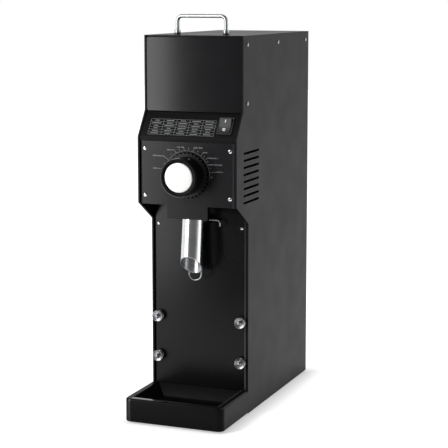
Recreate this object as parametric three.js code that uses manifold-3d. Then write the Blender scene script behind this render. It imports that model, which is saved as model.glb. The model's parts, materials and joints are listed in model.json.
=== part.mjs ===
// A tall shop coffee grinder: a slim black steel cabinet with a bean hopper behind the top
// front panel, a burr head set by a dial, a motor behind it, a steel spout with a bag clamp,
// and a tray at the foot. Millimetres, x to the right, y to the back, z up. The origin is on
// the floor under the middle of the cabinet.
import * as THREE from 'three';
import { mergeVertices } from 'three/addons/utils/BufferGeometryUtils.js';
import Module from 'manifold-3d';

const wasm = await Module();
wasm.setup();

const degree = Math.PI / 180;

// Fits shared by every piece.
const seatGap = 0.3; // left between two pieces that sit on each other
const panelGap = 0.4; // left between neighbouring sheets of the cabinet
const overrun = 6; // how far a cutter runs past the face that it opens
const weldTolerance = 0.0001;

// How many flats stand for a full circle.
const largeRound = 26;
const mediumRound = 14;
const smallRound = 8;
const boltRound = 6;
const notchRound = 6;
const bendSteps = 3;
const cornerSteps = 2;

// The cabinet, as lengths stacked from the floor up and from the tray's front to the back.
const cabinetWidth = 182;
const cabinetDepth = 438;
const skirtLift = 3; // floor to the lower edge of the side panels
const columnHeight = 336; // lower edge of the side panels to the throat
const throatHeight = 35;
const headHeight = 114;
const fasciaHeight = 44;
const hopperHeight = 128;
const headSetback = 65; // tray front to the head's front edge
const fasciaRun = 30; // how far the head stands out in front of the hopper
const sideSheet = 3;
const frontSheet = 3;
const innerSheet = 2;
const panelRecess = 1.5; // front panels lie this far behind the side panels' edges
const foldRadius = 3;
const foldDepth = 11;

// The tray, a deep pan with sloping walls.
const trayHeight = 41;
const trayRim = 8;
const trayCornerRadius = 12;
const trayPocketRadius = 5;
const trayDepth = 22;
const traySlope = 6; // how far the pan's walls lean inwards
const trayFloor = 4;
const traySkirt = 7;
const trayEdgeRadius = 2;

// The feet and the chassis plate.
const footRadius = 13;
const footHeight = 6;
const footInset = 20; // from the chassis plate's edges to the middle of a foot
const footTaper = 1.5;
const apronInset = 8; // from the tray's sides and front to the apron under it
const chassisFlange = 14;

// The dial plate and its tongue.
const tongueWidth = 75;
const tongueDrop = 23;
const plateScrewInset = 8.2;
const plateScrewDrop = 13.1; // top edge of the plate to the upper screws
const plateScrewRise = 15.5; // bottom edge of the plate to the lower screws
const screwHeadRadius = 3.6;
const screwHeadHeight = 2.2;
const domeRadiusShare = 0.7;
const domeHeightShare = 0.75;
const screwShankRadius = 2;
const screwShankLength = 9;
const smallScrewHeadRadius = 2.8;
const columnScrewDrop = 41.6; // top edge of the lower panel to its screws
const sideScrewSetback = 21; // hopper front edge to the first side screws
const sideScrewRearInset = 18;
const sideScrewDrop = 15; // top edge of the side panel to its upper row of screws
const sideScrewRise = 14; // hopper's lower edge to the screw under the row

// The burr head.
const burrRadius = 40;
const burrThickness = 8;
const burrBore = 24;
const burrGap = 1;
const burrClearance = 3; // burr rim to chamber wall
const chamberWall = 4;
const chamberDepth = 33;
const chamberLift = 4; // head floor to the chamber
const coverThickness = 4;
const partitionThickness = 6;
const feedRadius = 26;
const feedWall = 5;
const feedLength = 70;
const sealWall = 6;
const inletLength = 38;
const inletWall = 4;
const inletSetback = 26; // partition to the inlet
const inletRise = 55; // shaft line to the top of the inlet neck
const outletRadius = 11;
const outletWall = 3;
const outletReach = 7; // how far the outlet neck reaches into the spout
const toothCount = 12;
const toothBite = 5; // side of the square bar that cuts a deep tooth
const fineToothCount = 20;
const fineToothBite = 2.4;
const toothOffset = 9; // the teeth are tangent to a circle of this radius
const fineToothStart = 30; // radius at which the fine teeth begin

// The shaft and what turns with it.
const shaftRadius = 9;
const feedTravel = 0.4; // how far the dial moves the shaft either way
const carrierRadius = 42;
const carrierThickness = 6;
const carrierHubRadius = 15;
const carrierHubLength = 3;
const wiperCount = 4;
const wiperWidth = 6;
const wiperReach = 2;
const augerRootRadius = 12;
const augerRadius = 24.5;
const augerPitch = 32;
const augerThickness = 4;
const augerTurns = 1.75;
const augerStepsPerTurn = 14;
const thrustCupRadius = 8.8;
const thrustCupLength = 4;
const thrustCupDish = 1.5;

// The dial.
const bushRadius = 13;
const bushFront = 8; // how far the bush stands out of the dial plate
const bushBack = 5; // how far the bush stands into the chamber
const spindleRadius = 9;
const spindleReach = 27; // dial plate to the spindle's front end
const dialRingRadius = 37.5;
const dialRingThickness = 4;
const dialRingLift = 0.8;
const notchCount = 40;
const notchDepth = 1.7;
const notchMouthShare = 0.62; // share of each pitch that a notch takes at the rim
const notchFloorShare = 0.3; // and at its floor
const knobRadius = 33.5;
const knobBaseRadius = 32;
const knobLength = 32;
const knobEdge = 2;
const knobGrooveDepth = 0.9;
const knobGrooveWidth = 1.6;
const knobGrooveSpacing = 4;
const capRadius = 25.2;
const capThickness = 2.6;
const capCrown = 0.8;
const capEdge = 0.6;
const crownRadiusShare = 0.6;
const crownHeightShare = 0.7;

// The motor.
const motorRadius = 62;
const motorWall = 3;
const bellThickness = 20;
const bellWeb = 5;
const bellCupWall = 4;
const motorRearRoom = 14; // rear panel to the motor
const bearingRadius = 20;
const bearingWidth = 11;
const bearingSealHalf = 2.6;
const bearingSealDepth = 1.5;
const statorEndRoom = 34; // motor bells to the stator
const statorBore = 38;
const statorSlots = 8;
const statorSlotRadius = 4;
const rotorGap = 0.6;
const rotorBarCount = 8;
const rotorBarRadius = 2.2;
const fanRadius = 52;
const fanHubRadius = 14;
const fanLength = 14;
const fanBlades = 8;
const fanBladeThickness = 2.4;
const bellWindows = 5;
const bellWindowRadius = 6;

// The shelf that carries the motor, and the electrics under it.
const cradleWidth = 84;
const cradleRib = 14;
const cradleInset = 30; // motor ends to the cradle ribs
const cradleWrapShare = 0.35; // share of the motor's radius that the ribs come up
const shelfThickness = 3;
const shelfFlange = 14;
const shelfFrontRoom = 12;
const capacitorRadius = 22;
const capacitorLength = 90;
const capacitorCrimp = 1.5;
const capacitorRoom = 18; // lower panel's folds to the capacitor
const terminalRadius = 3;
const terminalLength = 8;
const controlBoxWidth = 96;
const controlBoxHeight = 120;
const controlBoxDepth = 46;
const controlBoxEdge = 6;
const controlBoxRise = 90; // chassis plate to the control box
const controlBoxWall = 3;

// The hopper, its funnel and its lid.
const funnelSheet = 2;
const funnelFrontRoom = 3;
const funnelDepth = 172; // front wall to back wall
const funnelShoulderRise = 73; // motor top to the funnel's shoulder
const funnelNeck = 12;
const funnelNeckDip = 8; // how far the funnel's neck reaches into the inlet
const funnelRimDrop = 3;
const lidSheet = 3;
const hingeRadius = 2.5;
const hingePinRadius = 1;
const hingeBoreClearance = 0.25;
const hingeKnuckles = 5;
const hingeLeafHalf = 1.3;
const hingeSetback = 8; // funnel's back wall to the hinge
const hingeEndRoom = 1;
const lidHingeRoom = 0.5;
const hopperCornerRadius = 4;
const handleSpan = 89;
const handleRise = 32.5; // lid to the middle of the grip
const handleRodRadius = 2.75;
const handleBendRadius = 10;
const handleCollarRadius = 5.6;
const handleCollarHeight = 8;
const handleSetback = 38; // hopper front to the handle

// The spout and its bag clamp.
const spoutRadius = 19;
const spoutWall = 1.5;
const spoutLean = 6.5 * degree;
const spoutDrop = 105; // top of the spout to the middle of its slanted mouth
const spoutMouthAngle = 45 * degree;
const spoutFlangeRadius = 24.5;
const spoutFlangeThickness = 3;
const spoutBackRoom = 7.7; // spout to the lower panel
const clampDrop = 28; // top of the spout to the clamp's pivot
const clampRodRadius = 1.5;
const clampLegSpacing = 24; // between the legs at the pivot
const clampLoopRadius = 13.2; // of the round loop that joins the legs at the bottom
const clampLength = 107.3; // pivot to the bottom of the loop
const clampLean = 9.7;
const clampLeverReach = 42.8;
const clampLeverDrop = 10.5;
const clampEndReach = 26;
const clampBendRadius = 5;
const clampPanelRoom = 12.5; // lower panel to the pivot
const loopCornerShare = Math.SQRT2 - 1; // where the corners of a square of wire ease into a round
const clampEarThickness = 2.2;
const clampEarInside = 19;
const clampEarHeight = 13;
const clampPlateSheet = 2;
const clampBoreClearance = 0.3;

// The studs on the lower panel.
const studInset = 13;
const studHeights = [165, 93];
const studBaseRadius = 8.5;
const studBaseThickness = 2.5;
const studNeckRadius = 5;
const studFlangeRadius = 9.7;
const studFlangeStart = 7.5;
const studFlangeThickness = 3;
const studDish = 1.6;
const studBossRadius = 4.3;
const studBossReach = 14.5;
const studDimple = 1.2;
const studDimpleRadius = 1.8;
const studShankRadius = 2.5;

// The rocker switch in the fascia.
const switchInset = 26.5; // cabinet side to the middle of the switch
const switchWidth = 27;
const switchLength = 33;
const switchFrameWall = 2.2;
const switchFrameHeight = 1.6;
const switchBodyDepth = 24;
const switchCutInset = 1.2; // frame edge to the cut-out's edge
const switchCorner = 2;
const keyWidth = 21;
const keyLength = 26.6;
const keyThickness = 8;
const keyEndRise = 5.2;
const keyMiddleRise = 3.2;
const keyClearance = 0.8;
const keyRootInset = 4;
const keyTilt = 7 * degree;
const fasciaNose = 6;
const fasciaFlange = 15;

// The vents and the mains inlet.
const ventCount = 8;
const ventPitch = 12.1;
const ventLength = 73;
const ventHeight = 3;
const ventSetback = 33; // head front edge to the vents
const ventDrop = 26; // head top to the first vent
const rearVentCount = 7;
const rearVentPitch = 11;
const rearVentLength = 84;
const rearRecess = 3;
const inletSocketWidth = 24;
const inletSocketHeight = 16;
const inletSocketDepth = 20;
const inletFlangeWidth = 48;
const inletFlangeHeight = 23;
const inletFlangeThickness = 2;
const inletBodyWall = 2;
const inletCorner = 4;
const inletRiseAboveChassis = 60;
const inletPinLength = 14;
const inletPinWidth = 2;
const inletPinHeight = 4;
const inletPinSpacing = 7;
const inletPinStagger = 4;
const inletScrewSpacing = 40;

// Places worked out from the lengths above.
const halfWidth = cabinetWidth / 2;
const innerHalf = halfWidth - sideSheet - panelGap;
const frontY = -cabinetDepth / 2;
const rearY = cabinetDepth / 2;
const skirtZ = skirtLift;
const throatZ = skirtZ + columnHeight;
const headBottomZ = throatZ + throatHeight;
const headTopZ = headBottomZ + headHeight;
const hopperBottomZ = headTopZ + fasciaHeight;
const topZ = hopperBottomZ + hopperHeight;
const trayTopZ = skirtZ + trayHeight;

const headEdgeY = frontY + headSetback;
const hopperEdgeY = headEdgeY + fasciaRun;
const dialFaceY = headEdgeY + panelRecess;
const dialBackY = dialFaceY + frontSheet;
const coverFrontY = dialBackY + seatGap;
const chamberFrontY = coverFrontY + coverThickness + seatGap;
const partitionY = chamberFrontY + chamberDepth;
const feedFrontY = partitionY + partitionThickness;
const feedRearY = feedFrontY + feedLength;
const housingRearY = feedRearY + sealWall;
const rearPanelBackY = rearY - rearRecess;
const rearPanelFrontY = rearPanelBackY - innerSheet;
const motorFrontY = housingRearY + seatGap;
const motorRearY = rearPanelFrontY - motorRearRoom;
const shellFrontY = motorFrontY + bellThickness + seatGap;
const shellRearY = motorRearY - bellThickness - seatGap;
const fixedBurrFaceY = partitionY - seatGap - burrThickness;
const movingBurrFaceY = fixedBurrFaceY - burrGap;
const movingBurrBackY = movingBurrFaceY - burrThickness;
const carrierBackY = movingBurrBackY - seatGap;
const carrierFrontY = carrierBackY - carrierThickness;
const shaftFrontY = carrierFrontY - carrierHubLength;
const cupBackY = shaftFrontY - seatGap;
const cupFrontY = cupBackY - thrustCupLength;
const spindleBackY = cupFrontY - seatGap - feedTravel;

const chamberInner = burrRadius + burrClearance;
const chamberOuter = chamberInner + chamberWall;
const feedOuter = feedRadius + feedWall;
const headFloorTopZ = headBottomZ;
const headFloorBottomZ = headFloorTopZ - innerSheet;
const shaftZ = headFloorTopZ + chamberLift + chamberOuter;
const inletFrontY = feedFrontY + inletSetback;
const inletRearY = inletFrontY + inletLength;
const inletTopZ = shaftZ + inletRise;
const outletY = partitionY - panelGap - outletRadius;

const spoutTopZ = headFloorBottomZ - seatGap;
const spoutTopY = outletY;
const columnFaceY = spoutTopY + spoutRadius + spoutBackRoom;
const columnEdgeY = columnFaceY - panelRecess;
const columnTopZ = headFloorBottomZ - panelGap;
const trayRearY = columnEdgeY - panelGap;

const apronHalf = halfWidth - apronInset;
const chassisBottomZ = footHeight + seatGap;
const chassisTopZ = chassisBottomZ + innerSheet;
const chassisFrontY = frontY + apronInset;
const trayFloorTopZ = trayTopZ - trayDepth;
const lidBottomZ = topZ - lidSheet;
const funnelTopZ = lidBottomZ - funnelRimDrop;
const hopperFaceY = hopperEdgeY + panelRecess;
const funnelFrontY = hopperFaceY + frontSheet + funnelFrontRoom;
const funnelRearY = funnelFrontY + funnelDepth;
const hingeY = funnelRearY + hingeSetback;
const hingeZ = topZ - hingeRadius;
const motorTopZ = shaftZ + motorRadius;
const shelfTopZ = shaftZ - motorRadius - seatGap;
const knobBackY = dialFaceY - dialRingLift - dialRingThickness;
const knobFrontY = knobBackY - knobLength;

// Welds the corners that triangles share and drops triangles that have no area.
function weld(geometry) {
  const bare = geometry.clone();
  bare.deleteAttribute('normal');
  bare.deleteAttribute('uv');
  const merged = mergeVertices(bare, weldTolerance);
  const corners = merged.index.array;
  const kept = [];
  for (let i = 0; i < corners.length; i += 3) {
    const [a, b, c] = [corners[i], corners[i + 1], corners[i + 2]];
    if (a !== b && b !== c && c !== a) kept.push(a, b, c);
  }
  merged.setIndex(kept);
  return merged;
}

function solidOf(geometry) {
  const welded = weld(geometry);
  return new wasm.Manifold(new wasm.Mesh({
    numProp: 3,
    vertProperties: new Float32Array(welded.attributes.position.array),
    triVerts: new Uint32Array(welded.index.array),
  }));
}

function geometryOf(manifold) {
  const mesh = manifold.getMesh();
  const geometry = new THREE.BufferGeometry();
  geometry.setAttribute('position', new THREE.BufferAttribute(mesh.vertProperties, 3));
  geometry.setIndex(new THREE.BufferAttribute(mesh.triVerts, 1));
  return geometry;
}

function join(...geometries) {
  const [first, ...rest] = geometries.map(solidOf);
  return geometryOf(rest.reduce((sum, next) => sum.add(next), first));
}

function cut(base, ...tools) {
  return geometryOf(tools.map(solidOf).reduce((rest, tool) => rest.subtract(tool), solidOf(base)));
}

function block(x0, x1, y0, y1, z0, z1) {
  const geometry = new THREE.BoxGeometry(x1 - x0, y1 - y0, z1 - z0);
  return geometry.translate((x0 + x1) / 2, (y0 + y1) / 2, (z0 + z1) / 2);
}

function rodAlongY(radius, y0, y1, sides, x = 0, z = 0) {
  const geometry = new THREE.CylinderGeometry(radius, radius, y1 - y0, sides);
  return geometry.translate(x, (y0 + y1) / 2, z);
}

function rodAlongZ(radius, z0, z1, sides, x = 0, y = 0) {
  const geometry = new THREE.CylinderGeometry(radius, radius, z1 - z0, sides);
  return geometry.rotateX(Math.PI / 2).translate(x, y, (z0 + z1) / 2);
}

function rodAlongX(radius, x0, x1, sides, y = 0, z = 0) {
  const geometry = new THREE.CylinderGeometry(radius, radius, x1 - x0, sides);
  return geometry.rotateZ(Math.PI / 2).translate((x0 + x1) / 2, y, z);
}

// Turns a profile of [radius, y] points about the y axis. The profile runs anticlockwise.
function turned(profile, sides) {
  return new THREE.LatheGeometry(profile.map(([r, y]) => new THREE.Vector2(r, y)), sides);
}

function ring(inner, outer, y0, y1, sides) {
  return turned([[inner, y0], [outer, y0], [outer, y1], [inner, y1], [inner, y0]], sides);
}

function outline(points) {
  return new THREE.Shape(points.map(([a, b]) => new THREE.Vector2(a, b)));
}

function roundedOutline(x0, x1, y0, y1, radius, Kind = THREE.Shape) {
  const shape = new Kind();
  shape.absarc(x1 - radius, y0 + radius, radius, -Math.PI / 2, 0);
  shape.absarc(x1 - radius, y1 - radius, radius, 0, Math.PI / 2);
  shape.absarc(x0 + radius, y1 - radius, radius, Math.PI / 2, Math.PI);
  shape.absarc(x0 + radius, y0 + radius, radius, Math.PI, Math.PI * 3 / 2);
  return shape;
}

// A slot with round ends, from x0 to x1, for cutting through a sheet.
function slot(x0, x1, middle, height) {
  const path = new THREE.Path();
  path.absarc(x1 - height / 2, middle, height / 2, -Math.PI / 2, Math.PI / 2);
  path.absarc(x0 + height / 2, middle, height / 2, Math.PI / 2, Math.PI * 3 / 2);
  return path;
}

// Extrudes an outline drawn in x and z towards the front, from backY to frontY.
function extrudeY(shape, frontY0, backY0) {
  const options = { depth: backY0 - frontY0, bevelEnabled: false, curveSegments: cornerSteps };
  return new THREE.ExtrudeGeometry(shape, options).rotateX(Math.PI / 2).translate(0, backY0, 0);
}

// Extrudes an outline drawn in y and z to the right, from x0 to x1.
function extrudeX(shape, x0, x1) {
  const options = { depth: x1 - x0, bevelEnabled: false, curveSegments: cornerSteps };
  const turn = new THREE.Matrix4().makeBasis(
    new THREE.Vector3(0, 1, 0), new THREE.Vector3(0, 0, 1), new THREE.Vector3(1, 0, 0));
  return new THREE.ExtrudeGeometry(shape, options).applyMatrix4(turn).translate(x0, 0, 0);
}

function extrudeZ(shape, z0, z1) {
  const options = { depth: z1 - z0, bevelEnabled: false, curveSegments: cornerSteps };
  return new THREE.ExtrudeGeometry(shape, options).translate(0, 0, z0);
}

// The cross-section of a bent sheet: a line of points and the same line one sheet to its left.
function bentSheet(points, thickness) {
  const line = points.map(([a, b]) => new THREE.Vector2(a, b));
  const normals = line.slice(1).map((point, i) => {
    const run = point.clone().sub(line[i]).normalize();
    return new THREE.Vector2(-run.y, run.x);
  });
  const inner = line.map((point, i) => {
    const before = normals[Math.max(i - 1, 0)];
    const after = normals[Math.min(i, normals.length - 1)];
    const middle = before.clone().add(after).normalize();
    return point.clone().addScaledVector(middle, thickness / middle.dot(after));
  });
  return new THREE.Shape([...line, ...inner.reverse()]);
}

// A sheet pan seen from above: a flat face between two rounded folds that turn back.
function panSection(half, faceY, depth, thickness) {
  const points = [[-half, faceY + depth]];
  for (let i = 0; i <= bendSteps; i += 1) {
    const angle = (Math.PI / 2) * (i / bendSteps);
    points.push([
      -half + foldRadius * (1 - Math.cos(angle)),
      faceY + foldRadius * (1 - Math.sin(angle)),
    ]);
  }
  const mirrored = points.map(([x, y]) => [-x, y]).reverse();
  return bentSheet([...points, ...mirrored], thickness);
}

// A solid through flat sections that have the same number of [x, y] points, from the bottom up.
function loft(sections) {
  const count = sections[0].points.length;
  const positions = [];
  const index = [];
  sections.forEach(({ points, z }) => points.forEach(([x, y]) => positions.push(x, y, z)));
  for (let level = 0; level < sections.length - 1; level += 1) {
    for (let i = 0; i < count; i += 1) {
      const a = level * count + i;
      const b = level * count + ((i + 1) % count);
      index.push(a, b, b + count, a, b + count, a + count);
    }
  }
  const last = (sections.length - 1) * count;
  for (let i = 1; i < count - 1; i += 1) {
    index.push(0, i + 1, i);
    index.push(last, last + i, last + i + 1);
  }
  const geometry = new THREE.BufferGeometry();
  geometry.setAttribute('position', new THREE.Float32BufferAttribute(positions, 3));
  geometry.setIndex(index);
  return geometry;
}

function rectanglePoints(x0, x1, y0, y1) {
  return [[x0, y0], [x1, y0], [x1, y1], [x0, y1]];
}

function roundedPoints(x0, x1, y0, y1, radius) {
  return roundedOutline(x0, x1, y0, y1, radius).getPoints(cornerSteps).map((p) => [p.x, p.y]);
}

// A path that passes through its stations one after another, so each bend keeps its own points.
class StationPath extends THREE.Curve {
  constructor(stations) {
    super();
    this.stations = stations;
  }

  getPoint(t, target = new THREE.Vector3()) {
    const last = this.stations.length - 1;
    const place = Math.min(Math.max(t, 0), 1) * last;
    const from = Math.min(Math.floor(place), last - 1);
    return target.lerpVectors(this.stations[from], this.stations[from + 1], place - from);
  }

  getPointAt(u, target) {
    return this.getPoint(u, target);
  }

  getTangentAt(u, target = new THREE.Vector3()) {
    const last = this.stations.length - 1;
    const here = Math.round(u * last);
    const before = this.stations[Math.max(here - 1, 0)];
    const after = this.stations[Math.min(here + 1, last)];
    return target.subVectors(after, before).normalize();
  }
}

// A round rod bent along corner points, with each corner eased by the bend radius.
function bentRod(corners, radius, bendRadius, sides) {
  const places = corners.map(([x, y, z]) => new THREE.Vector3(x, y, z));
  const stations = [places[0]];
  for (let i = 1; i < places.length - 1; i += 1) {
    const corner = places[i];
    const start = corner.clone().add(places[i - 1].clone().sub(corner).setLength(bendRadius));
    const end = corner.clone().add(places[i + 1].clone().sub(corner).setLength(bendRadius));
    stations.push(...new THREE.QuadraticBezierCurve3(start, corner, end).getPoints(bendSteps));
  }
  stations.push(places[places.length - 1]);
  const section = [];
  for (let i = 0; i < sides; i += 1) {
    const angle = (i / sides) * Math.PI * 2;
    section.push([radius * Math.cos(angle), radius * Math.sin(angle)]);
  }
  return new THREE.ExtrudeGeometry(outline(section), {
    steps: stations.length - 1, bevelEnabled: false, extrudePath: new StationPath(stations),
  });
}

function repeatAround(count, make) {
  return Array.from({ length: count }, (unused, i) => make((i / count) * Math.PI * 2));
}

const finishes = {
  black: { color: 0x17181a, roughness: 0.42, metalness: 0.1 },
  gloss: { color: 0x101113, roughness: 0.18, metalness: 0 },
  plastic: { color: 0x1b1c1e, roughness: 0.5, metalness: 0 },
  grey: { color: 0x4a4c50, roughness: 0.5, metalness: 0 },
  rubber: { color: 0x121212, roughness: 0.9, metalness: 0 },
  steel: { color: 0xc4c6c8, roughness: 0.22, metalness: 1 },
  zinc: { color: 0x9a9da0, roughness: 0.45, metalness: 1 },
  cast: { color: 0x6c6e70, roughness: 0.7, metalness: 0.8 },
  brass: { color: 0xb08d4a, roughness: 0.35, metalness: 1 },
  white: { color: 0xf2f2ee, roughness: 0.35, metalness: 0 },
};

const grinder = new THREE.Group();
grinder.name = 'coffee_grinder';

function place(name, finish, geometry, parent = grinder) {
  geometry.computeVertexNormals();
  const mesh = new THREE.Mesh(geometry, new THREE.MeshStandardMaterial(finishes[finish]));
  mesh.name = name;
  parent.add(mesh);
  return mesh;
}

// A button head with a shank behind it. It faces the front, and its head sits on y = 0.
function screw(headRadius, shankLength) {
  return turned([
    [0, -screwHeadHeight], [headRadius * domeRadiusShare, -screwHeadHeight * domeHeightShare],
    [headRadius, 0], [screwShankRadius, 0], [screwShankRadius, shankLength], [0, shankLength],
  ], smallRound);
}

// Cabinet: two flat profiled side panels with vent slots beside the burr head. Each is held by
// four screws, whose heads stand on its outer face.
function sidePanel(sign) {
  const shape = outline([
    [columnEdgeY, skirtZ], [rearY, skirtZ], [rearY, topZ], [hopperEdgeY, topZ],
    [hopperEdgeY, hopperBottomZ], [headEdgeY, headTopZ], [headEdgeY, headBottomZ],
    [columnEdgeY, throatZ],
  ]);
  const ventStart = headEdgeY + ventSetback;
  for (let i = 0; i < ventCount; i += 1) {
    const middle = headTopZ - ventDrop - i * ventPitch;
    shape.holes.push(slot(ventStart, ventStart + ventLength, middle, ventHeight));
  }
  const rowFrontY = hopperEdgeY + sideScrewSetback;
  const rowRearY = rearY - sideScrewRearInset;
  const rowZ = topZ - sideScrewDrop;
  const heads = [
    [rowFrontY, rowZ], [(rowFrontY + rowRearY) / 2, rowZ], [rowRearY, rowZ],
    [rowFrontY, hopperBottomZ + sideScrewRise],
  ].map(([y, z]) => screw(screwHeadRadius, sideSheet / 2).rotateZ(sign * Math.PI / 2)
    .translate(sign * halfWidth, y, z));
  const outerX = sign * halfWidth;
  const innerX = outerX - sign * sideSheet;
  return join(extrudeX(shape, Math.min(outerX, innerX), Math.max(outerX, innerX)), ...heads);
}
place('side_panel_left', 'black', sidePanel(-1));
place('side_panel_right', 'black', sidePanel(1));

// Chassis: a plate with turned-up side flanges, on four rubber feet.
function chassisPlate() {
  const section = bentSheet([
    [-innerHalf, chassisBottomZ + chassisFlange], [-innerHalf, chassisBottomZ],
    [innerHalf, chassisBottomZ], [innerHalf, chassisBottomZ + chassisFlange],
  ], innerSheet);
  const panFrontY = columnFaceY + foldDepth + panelGap;
  const pan = extrudeY(section, panFrontY, rearPanelFrontY - panelGap);
  const apron = block(-apronHalf, apronHalf, chassisFrontY, panFrontY + overrun,
    chassisBottomZ, chassisTopZ);
  return join(pan, apron);
}
place('chassis_plate', 'zinc', chassisPlate());

function foot() {
  return turned([
    [0, 0], [footRadius - footTaper, 0], [footRadius, footTaper], [footRadius, footHeight],
    [0, footHeight],
  ], mediumRound).rotateX(Math.PI / 2);
}
const footX = apronHalf - footInset;
const footRows = [
  ['front', chassisFrontY + footInset], ['rear', rearPanelFrontY - footInset],
];
for (const [row, y] of footRows) {
  for (const [side, sign] of [['left', -1], ['right', 1]]) {
    place(`foot_${row}_${side}`, 'rubber', foot()).position.set(sign * footX, y, 0);
  }
}

// The tray in front: round front corners, a wide rim and a pan with sloping walls.
function trayOutline(inset, backY) {
  const radius = trayCornerRadius - inset;
  const shape = new THREE.Shape();
  shape.moveTo(-halfWidth + inset, backY);
  shape.lineTo(-halfWidth + inset, frontY + inset + radius);
  shape.absarc(-halfWidth + inset + radius, frontY + inset + radius, radius, Math.PI, Math.PI * 3 / 2);
  shape.absarc(halfWidth - inset - radius, frontY + inset + radius, radius, -Math.PI / 2, 0);
  shape.lineTo(halfWidth - inset, backY);
  return shape.getPoints(cornerSteps).map((p) => [p.x, p.y]);
}
function tray() {
  const body = loft([
    { points: trayOutline(trayEdgeRadius, trayRearY), z: skirtZ },
    { points: trayOutline(0, trayRearY), z: skirtZ + trayEdgeRadius },
    { points: trayOutline(0, trayRearY), z: trayTopZ - trayEdgeRadius },
    { points: trayOutline(trayEdgeRadius / 2, trayRearY), z: trayTopZ },
  ]);
  const rimHalf = halfWidth - trayRim;
  const pocketBack = trayRearY + overrun;
  const mouth = roundedPoints(-rimHalf, rimHalf, frontY + trayRim, pocketBack, trayPocketRadius);
  const floor = roundedPoints(-rimHalf + traySlope, rimHalf - traySlope,
    frontY + trayRim + traySlope, pocketBack, trayPocketRadius);
  const pocket = loft([
    { points: floor, z: trayFloorTopZ },
    { points: mouth, z: trayTopZ },
    { points: mouth, z: trayTopZ + overrun },
  ]);
  const under = block(-halfWidth + traySkirt, halfWidth - traySkirt, frontY + traySkirt,
    trayRearY + overrun, skirtZ - overrun, trayFloorTopZ - trayFloor);
  return cut(body, pocket, under);
}
place('front_tray', 'gloss', tray());

// Front panels: the hopper front, the sloping fascia, the dial plate and the lower panel.
function hopperFront() {
  const shape = roundedOutline(-innerHalf, innerHalf, hopperBottomZ - panelRecess,
    lidBottomZ - panelGap, hopperCornerRadius);
  return extrudeY(shape, hopperFaceY, hopperFaceY + frontSheet);
}
place('hopper_front_panel', 'gloss', hopperFront());

const fasciaTopZ = hopperBottomZ - panelRecess - panelGap;
const fasciaAngle = Math.atan2(hopperFaceY - dialFaceY, fasciaTopZ - headTopZ);
const fasciaMiddleY = (dialFaceY + hopperFaceY) / 2;
const fasciaMiddleZ = (headTopZ + fasciaTopZ) / 2;
const switchX = halfWidth - switchInset;

// Tools for the switch are drawn upright at the origin and then laid into the fascia's slope.
function layInFascia(geometry) {
  return geometry.rotateX(-fasciaAngle).translate(switchX, fasciaMiddleY, fasciaMiddleZ);
}

function fascia() {
  const section = bentSheet([
    [dialFaceY, headTopZ - fasciaNose], [dialFaceY, headTopZ], [hopperFaceY, fasciaTopZ],
    [hopperFaceY + fasciaFlange, fasciaTopZ],
  ].reverse(), innerSheet);
  const sheet = extrudeX(section, -innerHalf, innerHalf);
  const halfX = switchWidth / 2 - switchCutInset;
  const halfZ = switchLength / 2 - switchCutInset;
  const opening = block(-halfX, halfX, -overrun, overrun, -halfZ, halfZ);
  return cut(sheet, layInFascia(opening));
}
place('control_fascia', 'black', fascia());

const plateTopZ = headTopZ - fasciaNose - panelGap;
const plateBottomZ = headBottomZ - panelRecess;
const plateScrewX = halfWidth - panelRecess - sideSheet - plateScrewInset;
const plateScrewHeights = {
  upper: plateTopZ - plateScrewDrop,
  lower: plateBottomZ + plateScrewRise,
};

function dialPlate() {
  const pan = extrudeZ(panSection(innerHalf, dialFaceY, foldDepth, frontSheet), plateBottomZ, plateTopZ);
  const tongue = block(-tongueWidth / 2, tongueWidth / 2, dialFaceY, dialBackY,
    plateBottomZ - tongueDrop, plateBottomZ + overrun);
  const holes = [rodAlongY(bushRadius + seatGap, dialFaceY - overrun, dialBackY + overrun,
    largeRound, 0, shaftZ)];
  for (const z of Object.values(plateScrewHeights)) {
    for (const x of [-plateScrewX, plateScrewX]) {
      holes.push(rodAlongY(screwShankRadius + seatGap, dialFaceY - overrun, dialBackY + overrun,
        smallRound, x, z));
    }
  }
  return cut(join(pan, tongue), ...holes);
}
place('dial_plate', 'black', dialPlate());

const columnBottomZ = trayTopZ - trayDepth;
const columnScrewZ = columnTopZ - columnScrewDrop;

function lowerPanel() {
  const pan = extrudeZ(panSection(innerHalf, columnFaceY, foldDepth, frontSheet),
    columnBottomZ, columnTopZ);
  const studX = halfWidth - studInset;
  const holes = [];
  for (const x of [-plateScrewX, plateScrewX]) {
    holes.push(rodAlongY(screwShankRadius + seatGap, columnFaceY - overrun, columnFaceY + overrun,
      smallRound, x, columnScrewZ));
  }
  for (const z of studHeights) {
    for (const x of [-studX, studX]) {
      holes.push(rodAlongY(studShankRadius + seatGap, columnFaceY - overrun, columnFaceY + overrun,
        smallRound, x, z));
    }
  }
  return cut(pan, ...holes);
}
place('lower_front_panel', 'black', lowerPanel());

// Their screws stand on them, one at each corner of the dial plate and two on the lower panel.
for (const [level, z] of Object.entries(plateScrewHeights)) {
  for (const [side, sign] of [['left', -1], ['right', 1]]) {
    place(`dial_plate_screw_${level}_${side}`, 'steel', screw(screwHeadRadius, screwShankLength))
      .position.set(sign * plateScrewX, dialFaceY - seatGap, z);
  }
}
for (const [side, sign] of [['left', -1], ['right', 1]]) {
  place(`lower_panel_screw_${side}`, 'steel', screw(smallScrewHeadRadius, screwShankLength))
    .position.set(sign * plateScrewX, columnFaceY - seatGap, columnScrewZ);
}

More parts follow.
